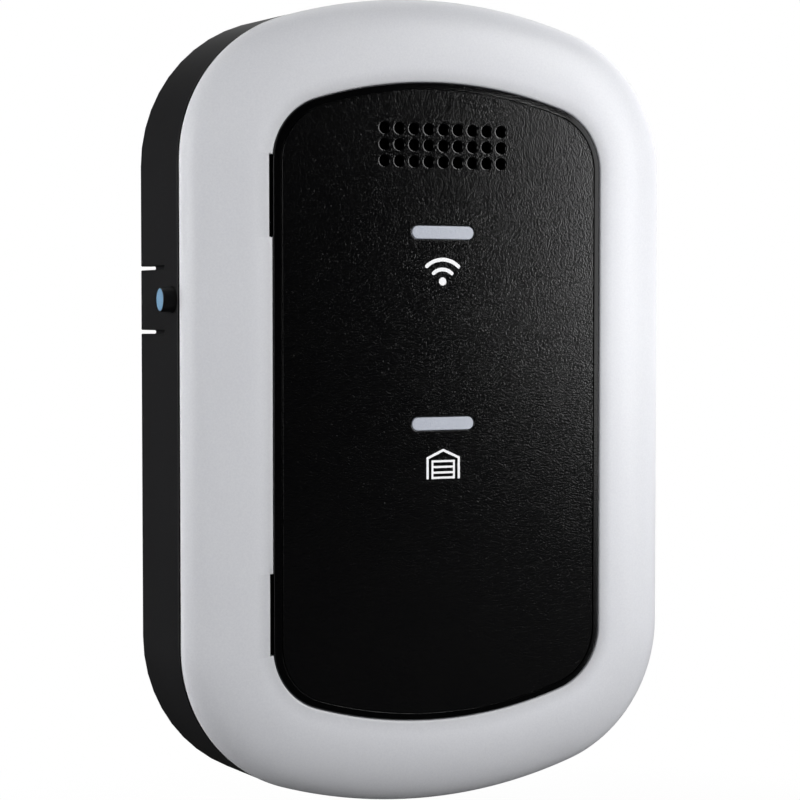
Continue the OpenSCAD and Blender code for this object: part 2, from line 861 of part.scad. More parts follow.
module terminal_screws() {
    head = board_back - terminal_h + terminal_screw_sink;
    color([0.78, 0.78, 0.76])
        at_terminals()
            difference() {
                post(0, terminal_z, terminal_screw_r, head, head + terminal_screw_l);
                block(
                    0, terminal_z, driver_slot_w, 2 * (terminal_screw_r + over),
                    head - over, head + driver_slot_d
                );
            }
}

module dc_jack() {
    color([0.07, 0.07, 0.08])
        difference() {
            block(-connector_x, jack_z, jack_w, jack_l, board_back - jack_h, board_back);
            rod_z(-connector_x, jack_mouth - over, jack_mouth + jack_socket_d, jack_d, jack_socket_r);
        }
}

module dc_jack_pin() {
    color([0.8, 0.78, 0.7])
        rod_z(
            -connector_x, jack_mouth + jack_pin_sink, jack_mouth + jack_socket_d,
            jack_d, jack_pin_r
        );
}

module button_switch() {
    color([0.1, 0.1, 0.11])
        difference() {
            block(
                switch_x + switch_w / 2, button_z, switch_w, switch_l,
                board_front, board_front + switch_h
            );
            rod_x(
                switch_x - over, switch_x + plunger_in + button_travel,
                button_z, button_d, plunger_r + plunger_gap
            );
        }
}

module switch_plunger() {
    color([0.85, 0.85, 0.82])
        rod_x(button_end, switch_x + plunger_in, button_z, button_d, plunger_r);
}

module side_button() {
    tip = -casing_w / 2 - button_out;
    color([0.06, 0.06, 0.07])
        difference() {
            union() {
                rod_x(tip, button_end, button_z, button_d, button_r);
                rod_x(-wall_x, button_flange_t - wall_x, button_z, button_d, button_flange_r);
            }
            rod_x(tip - over, tip + disc_t, button_z, button_d, button_r - disc_edge);
        }
}

module side_button_disc() {
    tip = -casing_w / 2 - button_out;
    color([0.55, 0.69, 0.82])
        rod_x(tip, tip + disc_t, button_z, button_d, button_r - disc_edge);
}

module casing_screws() {
    color([0.35, 0.35, 0.37])
        at_screws()
            difference() {
                union() {
                    post(0, 0, screw_head_r, recess_d - screw_head_t, recess_d);
                    post(0, 0, screw_d / 2, recess_d - root, recess_d + screw_l);
                }
                block(
                    0, 0, driver_w, driver_w,
                    recess_d - screw_head_t - over, recess_d - screw_head_t + driver_d
                );
            }
}

wall_bracket();
rear_housing();
light_ring();
front_cover();
wifi_light_pipe();
door_light_pipe();
grille_cloth();
main_board();
ring_leds();
status_leds();
wifi_module();
wifi_shield();
radio_module();
radio_antenna();
microcontroller();
voltage_regulator();
power_inductor();
power_capacitors();
opener_relay();
buzzer();
buzzer_gasket();
terminal_block();
terminal_screws();
dc_jack();
dc_jack_pin();
button_switch();
switch_plunger();
side_button();
side_button_disc();
casing_screws();
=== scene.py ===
# %% [markdown]
# # A garage door controller, dressed for its portrait
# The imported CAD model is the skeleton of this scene. It already has the right size and place, so nothing
# here moves it. Each cell adds one thing that CAD leaves plain: a smooth light ring, a grained cover,
# printed signs, rounded edges and the look of each material.

# %% Load the frame
import json
import math

import bmesh
import bpy
import numpy as np
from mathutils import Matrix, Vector
from mathutils.geometry import delaunay_2d_cdt

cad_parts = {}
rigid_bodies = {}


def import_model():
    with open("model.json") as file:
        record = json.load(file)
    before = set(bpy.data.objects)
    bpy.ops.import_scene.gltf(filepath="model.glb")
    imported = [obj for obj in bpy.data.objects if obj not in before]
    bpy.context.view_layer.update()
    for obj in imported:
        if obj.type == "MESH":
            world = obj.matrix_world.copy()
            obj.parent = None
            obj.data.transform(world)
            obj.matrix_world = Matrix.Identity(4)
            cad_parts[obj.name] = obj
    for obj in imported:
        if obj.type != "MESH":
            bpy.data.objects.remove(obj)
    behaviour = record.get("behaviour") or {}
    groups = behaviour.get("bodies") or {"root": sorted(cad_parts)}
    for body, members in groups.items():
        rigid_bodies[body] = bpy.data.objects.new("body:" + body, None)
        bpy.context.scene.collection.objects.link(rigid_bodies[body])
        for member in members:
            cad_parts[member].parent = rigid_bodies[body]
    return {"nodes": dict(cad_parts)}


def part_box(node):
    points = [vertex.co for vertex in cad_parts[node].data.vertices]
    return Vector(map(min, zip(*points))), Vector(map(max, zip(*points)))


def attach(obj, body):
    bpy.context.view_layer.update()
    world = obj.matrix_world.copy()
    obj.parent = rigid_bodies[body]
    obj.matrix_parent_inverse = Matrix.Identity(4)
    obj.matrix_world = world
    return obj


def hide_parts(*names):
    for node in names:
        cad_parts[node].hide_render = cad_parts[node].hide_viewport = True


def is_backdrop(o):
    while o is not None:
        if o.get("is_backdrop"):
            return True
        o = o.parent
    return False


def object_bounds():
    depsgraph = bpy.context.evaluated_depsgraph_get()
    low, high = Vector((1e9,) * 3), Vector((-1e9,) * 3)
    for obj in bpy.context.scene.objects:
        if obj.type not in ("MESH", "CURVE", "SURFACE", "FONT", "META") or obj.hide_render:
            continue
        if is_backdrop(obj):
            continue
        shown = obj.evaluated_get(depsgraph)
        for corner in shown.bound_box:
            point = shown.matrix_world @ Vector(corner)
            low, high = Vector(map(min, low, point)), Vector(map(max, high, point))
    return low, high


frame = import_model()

cad_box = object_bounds()
nodes = frame["nodes"]
MM = 0.001
print("frame:", len(nodes), "nodes, box in mm", np.round(np.subtract(cad_box[1], cad_box[0]) / MM, 2))

# %% [markdown]
# ## Sizes
# A part that fits another has to take its size from it. What the frame can tell is read from the boxes of
# its nodes; the few sizes that a box can't show, such as the radii of the outline, are named here in
# millimetres. X runs to the right, Z up and Y into the wall, so a depth in front of the wall is -y.

# %% Read the sizes from the frame
def reach(node, axis, end):
    """One coordinate of a node's box: end 0 is its lowest value on that axis and 1 its highest."""
    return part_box(node)[end]["xyz".index(axis)]


half_w = reach("rear_housing", "x", 1)
half_h = reach("rear_housing", "z", 1)
casing_d = -reach("rear_housing", "y", 0)
cover_face = -reach("front_cover", "y", 0)
board_front = -reach("main_board", "y", 0)
corner_r = 29 * MM
arch_r = 101 * MM
corner_x = half_w - corner_r
arch_z = half_h - arch_r
corner_z = arch_z + math.sqrt((arch_r - corner_r) ** 2 - corner_x ** 2)
print("casing in mm:", np.round(np.array([2 * half_w, 2 * half_h, casing_d]) / MM, 1))

# %% [markdown]
# ## From numbers to meshes
# Every new piece is worked out as a whole array of points first. The helpers below only turn such arrays
# into Blender meshes. Merging the doubles closes seams and poles, and recalculating the normals turns all
# faces outwards. An edge stays sharp only where its two faces meet at a clear angle.

# %% Mesh helpers
SHARP = 35
MERGE = 1e-7


def put(name, data):
    """A new object in the scene that holds this mesh, lamp or camera."""
    thing = bpy.data.objects.new(name, data)
    bpy.context.scene.collection.objects.link(thing)
    return thing


def smooth(mesh, sharp=SHARP):
    """Smooth shading, but for the edges whose two faces meet at more than the angle sharp."""
    mesh.shade_smooth()
    mesh.set_sharp_from_angle(angle=math.radians(sharp))


def build(name, points, faces, sharp=SHARP):
    """A mesh object from an array of points and a list of arrays of faces, smooth but for its sharp edges."""
    mesh = bpy.data.meshes.new(name)
    mesh.from_pydata(points.reshape(-1, 3).tolist(), [], [face for group in faces for face in group.tolist()])
    shell = bmesh.new()
    shell.from_mesh(mesh)
    bmesh.ops.remove_doubles(shell, verts=shell.verts, dist=MERGE)
    bmesh.ops.recalc_face_normals(shell, faces=shell.faces)
    shell.to_mesh(mesh)
    shell.free()
    smooth(mesh, sharp)
    print(name, "has", len(mesh.polygons), "faces")
    return put(name, mesh)


def grid_faces(rows, columns, close_rows=False):
    """Four-sided faces of a grid of points, numbered row by row, whose columns close on themselves."""
    i = np.arange(rows if close_rows else rows - 1)[:, None]
    j = np.arange(columns)[None, :]
    near, far = i * columns, (i + 1) % rows * columns
    step = (j + 1) % columns
    return np.stack(np.broadcast_arrays(near + j, near + step, far + step, far + j), axis=-1).reshape(-1, 4)


# %% [markdown]
# ## The outline that everything follows
# Seen from the front, the casing, the ring and the cover share one outline: two arched ends, four round
# corners and two straight sides, whose arcs have the same centres at every distance from the edge. So one
# path of points, each with its outward direction, serves all three: a point that lies a distance u further
# in is the path's point minus u times that direction.

# %% The path round the outline
SIDE_N, CORNER_N, ARCH_N = 12, 40, 30
STEP = 0.012 * MM


def outline_path(steps, inset):
    """Points and outward directions round the outline, anticlockwise from the middle of the right side.

    A point on an arc is its centre plus radius times (cos a, sin a), and (cos a, sin a) is its direction.
    One quarter is worked out and mirrored. Each height in steps gets a close pair of points, at the given
    inset, so that a section can change there at once.
    """
    join = math.pi / 2 - math.atan2(corner_x, corner_z - arch_z)
    pairs = np.concatenate([np.asarray(steps) - STEP, np.asarray(steps) + STEP])
    low, high = pairs[pairs < corner_z], pairs[pairs >= corner_z]
    side = np.unique(np.concatenate([np.linspace(0, corner_z, SIDE_N), low]))
    turn = np.arcsin((high - corner_z) / (corner_r - inset))
    corner = np.unique(np.concatenate([np.linspace(0, join, CORNER_N)[1:], turn]))
    arch = np.linspace(join, math.pi / 2, ARCH_N)[1:]
    angle = np.concatenate([0 * side, corner, arch])
    out = np.c_[np.cos(angle), np.sin(angle)]
    centre = np.concatenate([
        np.c_[np.full(len(side), corner_x), side],
        np.tile([corner_x, corner_z], (len(corner), 1)),
        np.tile([0, arch_z], (len(arch), 1)),
    ])
    radius = np.concatenate([np.full(len(side) + len(corner), corner_r), np.full(len(arch), arch_r)])
    at = centre + radius[:, None] * out
    flips = [(1, [1, 1]), (-1, [-1, 1]), (1, [-1, -1]), (-1, [1, -1])]
    return [np.concatenate([(part * flip)[::way][:-1] for way, flip in flips]) for part in (at, out)]


# %% [markdown]
# A section is drawn once, as a row of insets and depths, and carried round the path. A bevelled curve would
# do the same for a section that never changes, but here it may differ from place to place.

# %% Carry a section round the path
def swept(inset, depth, path):
    """Points of a section carried round the outline: inset and depth are rows of the section, and may
    differ from place to place along the path."""
    at, out = path
    inset, depth = np.broadcast_arrays(np.asarray(inset), np.asarray(depth))
    x = at[:, 0] - inset * out[:, 0]
    z = at[:, 1] - inset * out[:, 1]
    return np.stack([x, -depth, z], axis=-1)


# %% [markdown]
# ## Materials from nodes
# All colours are written as sRGB hex values and turned to linear light by one function. Another adds a
# node, sets its sockets and links it. With these two, each material below is a short list of nodes that
# reads Object coordinates, so that its pattern has a real size in millimetres and stays on the part.

# %% Colour and node helpers
def linear(code):
    """Linear colour of an sRGB hex code: c / 12.92 when dark, otherwise ((c + 0.055) / 1.055) to the 2.4."""
    c = np.array([int(code[i:i + 2], 16) / 255 for i in (1, 3, 5)])
    rgb = np.where(c <= 0.04045, c / 12.92, ((c + 0.055) / 1.055) ** 2.4)
    return (*rgb.tolist(), 1.0)


def add(tree, kind, values=None, links=None, **settings):
    """Adds a node of that kind, with its settings, the values of its sockets and the links into them."""
    node = tree.nodes.new(kind)
    for key, value in settings.items():
        setattr(node, key, value)
    for key, value in (values or {}).items():
        node.inputs[key].default_value = value
    for key, socket in (links or {}).items():
        tree.links.new(socket, node.inputs[key])
    return node


def blank(name):
    """A new material: its node tree, its main shader and the Object coordinates."""
    material = bpy.data.materials.new(name)
    material.use_nodes = True
    tree = material.node_tree
    place = add(tree, "ShaderNodeTexCoord").outputs["Object"]
    return material, tree, tree.nodes["Principled BSDF"], place


def dress(piece, material):
    """Gives a piece or a CAD node one material."""
    piece.data.materials.clear()
    piece.data.materials.append(material)
    print(piece.name, "is dressed in", material.name)


# %% [markdown]
# Most parts are moulded plastic, so one recipe serves them all. A fine noise stands for the grain that the
# mould leaves, and a slow one for shifts of tone. Added up, they choose a colour between two near shades.
# The fine one also varies the gloss and, as a bump, the height. That last step is a function of its own,
# because metals need it too.

# %% Moulded plastic
SLOW_SHARE = 0.35
TONE_ENDS = 0.45, 0.9


def surface(tree, shader, colour, pattern, roughness, depth, strength=1.0):
    """Links a colour into the shader, and a pattern into its gloss and, as a bump, into its normals."""
    least, most = roughness
    gloss = add(tree, "ShaderNodeMapRange", {"To Min": least, "To Max": most}, {"Value": pattern})
    relief = add(tree, "ShaderNodeBump", {"Strength": strength, "Distance": depth}, {"Height": pattern})
    tree.links.new(colour, shader.inputs["Base Color"])
    tree.links.new(gloss.outputs["Result"], shader.inputs["Roughness"])
    tree.links.new(relief.outputs["Normal"], shader.inputs["Normal"])


def moulded(name, colours, roughness, grain, bump, blotch=9 * MM, detail=3, **sockets):
    """Moulded plastic: a fine grain from the tool in colour, gloss and height, over slow shifts of tone."""
    material, tree, shader, place = blank(name)
    fine = add(tree, "ShaderNodeTexNoise", {"Scale": 1 / grain, "Detail": detail}, {"Vector": place})
    slow = add(tree, "ShaderNodeTexNoise", {"Scale": 1 / blotch, "Detail": 2}, {"Vector": place})
    both = add(
        tree, "ShaderNodeMath", {1: SLOW_SHARE}, {0: slow.outputs["Fac"], 2: fine.outputs["Fac"]},
        operation="MULTIPLY_ADD",
    )
    tone = add(tree, "ShaderNodeValToRGB", None, {"Fac": both.outputs[0]})
    dark, pale = tone.color_ramp.elements
    dark.position, pale.position = TONE_ENDS
    dark.color, pale.color = map(linear, colours)
    surface(tree, shader, tone.outputs["Color"], fine.outputs["Fac"], roughness, bump)
    for key, value in sockets.items():
        shader.inputs[key.replace("_", " ")].default_value = value
    return material


# %% [markdown]
# ## The camera
# The photograph was taken from the front left, a little above the middle, with a long lens. Position,
# turn and lens come from fitting the casing's outline to the edges in the photograph. A lens of this
# length keeps the two long sides nearly parallel.

# %% Camera
CAMERA_AT = (-0.17809, -0.38617, 0.01661)
CAMERA_YAW, CAMERA_PITCH = 25.131, 2.289
LENS_PX, IMAGE_PX, SENSOR = 2139.45, 800, 36

camera = put("camera", bpy.data.cameras.new("camera"))
camera.location = CAMERA_AT
camera.rotation_euler = (math.radians(90 - CAMERA_PITCH), 0, math.radians(-CAMERA_YAW))
camera.data.sensor_width = SENSOR
camera.data.lens = LENS_PX / IMAGE_PX * SENSOR
camera.data.clip_start = 0.01
bpy.context.scene.camera = camera
print("lens in mm:", round(camera.data.lens, 1))

# %% [markdown]
# ## The light ring
# The opal ring is one smooth moulding: a quarter of an ellipse rises from the casing's edge, runs over a
# crown and dips a little towards the cover. It could be a bevelled curve, but its section changes at the
# two notches for the cover's lugs, so it is carried along the outline point by point. Its inner edge is
# rounded by a small radius, which catches a thin line of light.

# %% Sizes of the light ring
RING_W, RING_CROWN, RING_RISE, RING_SKIN = 15.9 * MM, 12 * MM, 5.9 * MM, 1.8 * MM
RING_EDGE = 0.4 * MM
COVER_T = 2.2 * MM

ring_ledge = half_w - reach("light_ring", "x", 1)
ring_inner = ring_ledge + RING_W
cover_back = cover_face - COVER_T
opening = 2 * np.array([half_w - ring_inner, half_h - ring_inner])
print("ring's opening in mm:", np.round(opening / MM, 1))

# %% [markdown]
# The path has a close pair of points at each end of a notch, and where the spigot below the ring makes room
# for the side button. A notch is upright, so where the path turns into the corner its inset is the distance
# to an upright line, measured along the path's outward direction.

# %% Path of the ring with its notches
LUG_Z, LUG_L, LUG_NOTCH = 38.1 * MM, 15 * MM, 0.65 * MM
BUTTON_ROOM, SPIGOT_D, SPIGOT_LOW = 3.4 * MM, 2.6 * MM, 0.1 * MM
LEFTWARDS, LEAST_TURN = -0.9, 0.1


def near_lug(path, inset, margin):
    """True where the path, moved in by inset, runs along a lug on the left, less a margin at each end."""
    at, out = path
    z = at[:, 1] - inset * out[:, 1]
    return (out[:, 0] < LEFTWARDS) & (np.abs(np.abs(z) - LUG_Z) < LUG_L / 2 - margin)


def upright(path, x):
    """Insets that put the path on the upright lines at x and -x: the distance across, divided by the
    sideways part of the outward direction."""
    at, out = path
    return (np.abs(at[:, 0]) - x) / np.maximum(np.abs(out[:, 0]), LEAST_TURN)


button_z = (reach("side_button", "z", 0) + reach("side_button", "z", 1)) / 2
lug_ends = [LUG_Z - LUG_L / 2, LUG_Z + LUG_L / 2]
button_ends = [button_z - BUTTON_ROOM, button_z + BUTTON_ROOM]
ring_path = outline_path(lug_ends + button_ends, ring_inner)
ring_at, ring_out = ring_path
notch_u = upright(ring_path, half_w - ring_inner + LUG_NOTCH)
inner = np.where(near_lug(ring_path, ring_inner, 0), notch_u, ring_inner)
at_button = (ring_out[:, 0] < LEFTWARDS) & (np.abs(ring_at[:, 1] - button_z) < BUTTON_ROOM)
spigot = np.where(at_button, SPIGOT_LOW, SPIGOT_D)
print("points round the ring:", len(ring_at), "of which in notches:", int((inner < ring_inner).sum()))

# %% [markdown]
# The section runs once round the ring's wall: over the dome, round the inner edge and down to the seat of
# the cover, then back under the vault over the lamps and down the spigot that plugs into the casing.

# %% Section of the ring
DOME_N, EDGE_N, VAULT_N = 28, 6, 10
WALL, SPIGOT_GAP, SPIGOT_T = 2.2 * MM, 0.15 * MM, 1.5 * MM


def arch_over(angle, half, rise):
    """Inset and depth on an ellipse's arch: the crown's inset minus half times cos a, and the casing's
    front plus rise times sin a."""
    return ring_ledge + RING_CROWN - half * np.cos(angle), casing_d + rise * np.sin(angle)


around = np.ones(len(ring_at))
last = np.arccos((RING_CROWN - (inner - RING_EDGE - ring_ledge)) / RING_CROWN)
dome_u, dome_d = arch_over(np.linspace(0, 1, DOME_N)[:, None] * last, RING_CROWN, RING_RISE)
turn = np.linspace(0, math.pi / 2, EDGE_N)[1:, None]
edge_u = inner - RING_EDGE + RING_EDGE * np.sin(turn)
edge_d = dome_d[-1] - RING_EDGE + RING_EDGE * np.cos(turn)
half, rise = RING_CROWN - RING_SKIN, RING_RISE - RING_SKIN
spigot_outer = WALL + SPIGOT_GAP
spigot_inner = spigot_outer + SPIGOT_T
first = math.acos((RING_CROWN - (RING_W - RING_SKIN)) / half)
final = math.acos((RING_CROWN - (spigot_inner - ring_ledge)) / half)
vault_u, vault_d = arch_over(np.linspace(first, final, VAULT_N)[:, None] * around, half, rise)
print("ring's crown above the casing in mm:", round((dome_d.max() - casing_d) / MM, 2))

# %% [markdown]
# All corners of the section, stacked in order, are the rows of a grid whose columns run round the outline.

# %% Mesh of the ring
SEAT_W, SEAT_T = 1.4 * MM, 1.8 * MM

seat_d = cover_back - SEAT_T
ring_u = np.vstack([
    dome_u, edge_u, inner, around * (ring_inner + SEAT_W), around * (ring_inner + SEAT_W),
    around * (ring_inner - RING_SKIN), vault_u, around * spigot_inner, around * spigot_outer,
    around * spigot_outer,
])
ring_depth = np.vstack([
    dome_d, edge_d, around * cover_back, around * cover_back, around * seat_d, around * seat_d, vault_d,
    casing_d - spigot, casing_d - spigot, around * casing_d,
])
light_ring = build(
    "opal_ring", swept(ring_u, ring_depth, ring_path),
    [grid_faces(len(ring_u), len(around), close_rows=True)],
)
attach(light_ring, "unit")
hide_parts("light_ring")

# %% [markdown]
# ## Opal polycarbonate
# The ring is polycarbonate with a white filler that scatters the light of the lamps behind it. To the eye
# it is a soft, faintly cool white with hardly any hard shadow, because light enters, spreads for a few
# millimetres and comes out again. Subsurface scattering gives that; the moulded skin has a silky gloss.
# Over its last millimetres beside the opening, where it meets the black cover, the ring's colour is painted
# darker: painted shade. Each point's distance from the opening is kept as an attribute for that.

# %% Material of the light ring
# Painted shade beside the opening: the darkest share of the ring's colour, and the width over which it fades.
PAINTED_SEAT_SHADE, SHADE_W = 0.82, 3 * MM

opal = moulded(
    "opal_polycarbonate", ("#CFD0D5", "#D6D7DB"), (0.36, 0.42), 0.35 * MM, 0.004 * MM, blotch=30 * MM,
    Subsurface_Weight=0.35, Subsurface_Radius=(1.0, 1.0, 1.05), Subsurface_Scale=2.5 * MM, IOR=1.585,
)
# The ring's colour is multiplied by this painted shade, which falls towards the opening.
from_opening = light_ring.data.attributes.new("from_opening", "FLOAT", "POINT")
from_opening.data.foreach_set("value", (inner - ring_u).ravel())
tree = opal.node_tree
base = tree.nodes["Principled BSDF"].inputs["Base Color"]
distance = add(tree, "ShaderNodeAttribute", attribute_name="from_opening")
shade = add(
    tree, "ShaderNodeMapRange", {"From Max": SHADE_W, "To Min": PAINTED_SEAT_SHADE},
    {"Value": distance.outputs["Fac"]}, interpolation_type="SMOOTHSTEP",
)
shaded = add(
    tree, "ShaderNodeVectorMath", None, {0: base.links[0].from_socket, 1: shade.outputs["Result"]},
    operation="MULTIPLY",
)
tree.links.new(shaded.outputs["Vector"], base)
dress(light_ring, opal)

# %% [markdown]
# ## The front cover
# The cover is a flat, grained plate inside a smooth bevelled rim, with a fine groove between the two. The
# rim, groove and side are again a section carried round the outline. The flat faces have 27 holes and two
# slots in them. Boolean modifiers could cut these one by one, but a Delaunay triangulation of all their edges
# fills the faces round them in one step and leaves the mesh closed.

# %% Flat faces with holes
WITHIN_EDGES, TOLERANCE = 1, 1e-6


def filled(loops):
    """Triangles of a flat face between closed loops of points: the first loop is its edge, the others are
    holes. A triangle whose corners all lie on one hole is inside that hole, so it is dropped."""
    count = [len(loop) for loop in loops]
    start = np.cumsum([0] + count[:-1])
    points = [Vector(p) for p in (np.concatenate(loops) / MM).tolist()]
    edges = np.concatenate([np.c_[np.arange(n), (np.arange(n) + 1) % n] + s for n, s in zip(count, start)])
    _, _, found, origins, _, _ = delaunay_2d_cdt(points, edges.tolist(), [], WITHIN_EDGES, TOLERANCE)
    triangles = np.array([origin[0] for origin in origins])[np.array(found)]
    loop_of = np.repeat(np.arange(len(loops)), count)[triangles]
    in_hole = (loop_of == loop_of[:, :1]).all(axis=1) & (loop_of[:, 0] > 0)
    return triangles[~in_hole]


def circle(x, z, r, n=32):
    """Points of a circle about (x, z), as seen from the front."""
    a = np.arange(n) * 2 * math.pi / n
    return np.c_[x + r * np.cos(a), z + r * np.sin(a)]


def bar(z, length, height, n=16):
    """Points of a bar with round ends, centred on x = 0: two half circles joined by straight lines."""
    a = np.linspace(-math.pi / 2, math.pi / 2, n)
    end = np.c_[(length - height) / 2 + height / 2 * np.cos(a), height / 2 * np.sin(a)]
    return np.concatenate([end, -end]) + [0, z]


# %% [markdown]
# The section starts at the cover's back, goes up its side and over a rounded edge, slopes up the rim and
# dips into the groove. Near each lug the lower part of the side stands out by half a millimetre, to catch
# in the ring's notch.

# %% Section of the front cover
COVER_GAP, RIM_W, RIM_DROP, RIM_EDGE = 0.15 * MM, 1.3 * MM, 0.5 * MM, 0.2 * MM
GROOVE_W, GROOVE_D, GROOVE_EDGE = 0.25 * MM, 0.3 * MM, 0.02 * MM
LUG_DROP, FLUSH, INK_T = 1.3 * MM, 0.02 * MM, 0.02 * MM
RIM_N = 5

face_d = cover_face - INK_T
cover_edge = ring_inner + COVER_GAP
cover_path = outline_path([lug_ends[0] + COVER_GAP, lug_ends[1] - COVER_GAP], cover_edge)
lug_u = upright(cover_path, half_w - cover_edge + LUG_NOTCH - COVER_GAP)
lug_u = np.where(near_lug(cover_path, cover_edge, COVER_GAP), lug_u, cover_edge - FLUSH)
turn = np.linspace(0, math.pi / 2 - math.atan2(RIM_DROP, RIM_W), RIM_N)
rim_u = cover_edge + RIM_EDGE * (1 - np.cos(turn))
rim_d = face_d - RIM_DROP + RIM_EDGE * (np.sin(turn) - 1)
groove_u = cover_edge + RIM_W + np.array([-GROOVE_EDGE, 0, 0, GROOVE_W, GROOVE_W, GROOVE_W + GROOVE_EDGE])
rim_end = GROOVE_EDGE * RIM_DROP / RIM_W
groove_d = face_d - np.array([rim_end, GROOVE_EDGE, GROOVE_D, GROOVE_D, GROOVE_EDGE, 0])

around = np.ones(len(cover_path[0]))
cover_u = np.vstack([
    lug_u, lug_u, around * cover_edge, rim_u[:, None] * around, groove_u[:, None] * around,
])
cover_depth = np.vstack([
    around * cover_back, around * (cover_face - LUG_DROP), around * (cover_face - LUG_DROP),
    rim_d[:, None] * around, groove_d[:, None] * around,
])
skin = swept(cover_u, cover_depth, cover_path)
print("cover's section has", len(skin), "corners")

# %% [markdown]
# The grille's holes and the lamp slots have rounded mouths, which show as thin crescents of light. Each is a
# stack of loops, from a flat margin on the face down to the back.

# %% Holes of the grille and slots of the lamps
GRILLE_COLUMNS, GRILLE_ROWS, GRILLE_PITCH = 9, 3, 3.03 * MM
GRILLE_HOLE, GRILLE_SINK = 2.05 * MM, 0.22 * MM
PIPE_L, PIPE_H, PIPE_GAP, SLOT_SINK = 13 * MM, 2.5 * MM, 0.1 * MM, 0.12 * MM
MOUTH_N, MOUTH_MARGIN = 4, 1.2
MOUTH_TURN = np.linspace(0, math.pi / 2, MOUTH_N)


def through(points, sink):
    """Loops down a hole: its mouth is rounded by a quarter circle, in which the hole grows by sink times one
    minus sin a at a depth of sink times one minus cos a. A flat margin comes before it, so that the face
    stays flat to the light, and the last loop is at the back. points(grow) gives the hole's outline, made
    larger all round by grow."""
    grow = np.concatenate([[MOUTH_MARGIN * sink], sink * (1 - np.sin(MOUTH_TURN)), [0]])
    depth = np.concatenate([[face_d], face_d - sink * (1 - np.cos(MOUTH_TURN)), [cover_back]])
    loops = np.stack([points(g) for g in grow])
    return np.stack([loops[..., 0], -depth[:, None] + 0 * loops[..., 0], loops[..., 1]], axis=-1)


def lamp_slot(z, grow):
    """Outline of a lamp slot at height z, made larger all round by grow."""
    return bar(z, PIPE_L + 2 * (PIPE_GAP + grow), PIPE_H + 2 * (PIPE_GAP + grow))


grille_z = (reach("buzzer", "z", 0) + reach("buzzer", "z", 1)) / 2
pipe_z = [(reach(node, "z", 0) + reach(node, "z", 1)) / 2 for node in ("wifi_light_pipe", "door_light_pipe")]
openings = [
    through(lambda grow, x=x, z=z: circle(x, z, GRILLE_HOLE / 2 + grow), GRILLE_SINK)
    for x in (np.arange(GRILLE_COLUMNS) - (GRILLE_COLUMNS - 1) / 2) * GRILLE_PITCH
    for z in grille_z + (np.arange(GRILLE_ROWS) - (GRILLE_ROWS - 1) / 2) * GRILLE_PITCH
]
openings += [through(lambda grow, z=z: lamp_slot(z, grow), SLOT_SINK) for z in pipe_z]
print("openings in the cover:", len(openings))

# %% [markdown]
# The section's grid, the holes' grids and the two flat faces make one closed mesh. For the front face the
# holes' first loops are used, and for the back face their last.

# %% Mesh of the front cover
COVER_SHARP = 30

parts = [skin.reshape(-1, 3)] + [opening.reshape(-1, 3) for opening in openings]
starts = np.cumsum([0] + [len(part) for part in parts[:-1]])
faces = [grid_faces(len(skin), len(around))]
faces += [grid_faces(*opening.shape[:2]) + s for opening, s in zip(openings, starts[1:])]
for row, level in ((-1, 0), (0, -1)):
    loops = [skin[row]] + [opening[level] for opening in openings]
    first = [row % len(skin) * len(around)]
    first += [s + level % len(o) * o.shape[1] for o, s in zip(openings, starts[1:])]
    number = np.concatenate([s + np.arange(len(loop)) for s, loop in zip(first, loops)])
    faces.append(number[filled([loop[:, [0, 2]] for loop in loops])])
cover = build("grained_cover", np.concatenate(parts), faces, sharp=COVER_SHARP)
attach(cover, "unit")
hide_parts("front_cover")

# %% [markdown]
# Four tubular bosses behind the cover take the casing's screws. They are turned shapes: a profile of
# distances along the axis and radii, carried round the axis.

# %% Screw bosses behind the cover
BOSS_R, BOSS_BORE, HEAD_R = 3.2 * MM, 1.55 * MM, 2.8 * MM


def turned(name, profile, origin, axis, n=40, close=False):
    """A surface of revolution: point (s, r) of the profile at angle a lies at the origin plus s along the
    axis, r cos a along the next axis and r sin a along the one after it."""
    s, r = np.asarray(profile).T
    a = np.arange(n) * 2 * math.pi / n
    turns = np.stack(np.broadcast_arrays(s[:, None], r[:, None] * np.cos(a), r[:, None] * np.sin(a)), axis=-1)
    points = np.roll(turns, "xyz".index(axis), axis=-1) + np.asarray(origin)
    return build(name, points, [grid_faces(len(s), n, close_rows=close)])


screw_x = reach("casing_screws", "x", 1) - HEAD_R
screw_z = reach("casing_screws", "z", 1) - HEAD_R
tube = [(-board_front, BOSS_R), (-cover_back, BOSS_R), (-cover_back, BOSS_BORE), (-board_front, BOSS_BORE)]
bosses = [
    turned(f"cover_boss_{i}", tube, (right * screw_x, 0, up * screw_z), "y", close=True)
    for i, (right, up) in enumerate([(1, 1), (-1, 1), (-1, -1), (1, -1)])
]
for boss in bosses:
    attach(boss, "unit")

# %% [markdown]
# ## Grained ABS
# The cover's face has the sandy grain of an etched mould, which turns a mirror into a soft sheen with a fine
# sparkle. The real grain is finer than a pixel of the picture, so it is drawn about 0.3 mm across, as coarse
# as it needs to be to show. Only one finer step of noise goes with it, for a crisp speckle.

# %% Material of the front cover
grained = moulded(
    "grained_abs", ("#010102", "#050505"), (0.1, 0.15), 0.28 * MM, 0.031 * MM, detail=1,
    Specular_IOR_Level=0.41, IOR=1.53,
)
dress(cover, grained)
for boss in bosses:
    dress(boss, grained)

# %% [markdown]
# ## The printed signs
# Below each lamp a sign is printed in white ink: waves for the wireless link and a garage for the door. An
# image could show them, but a shape stays sharp from any distance. A print is a thin layer, so each stroke
# is a flat outline with a thickness of a few hundredths of a millimetre. It follows a path and is mitred
# where the path bends.

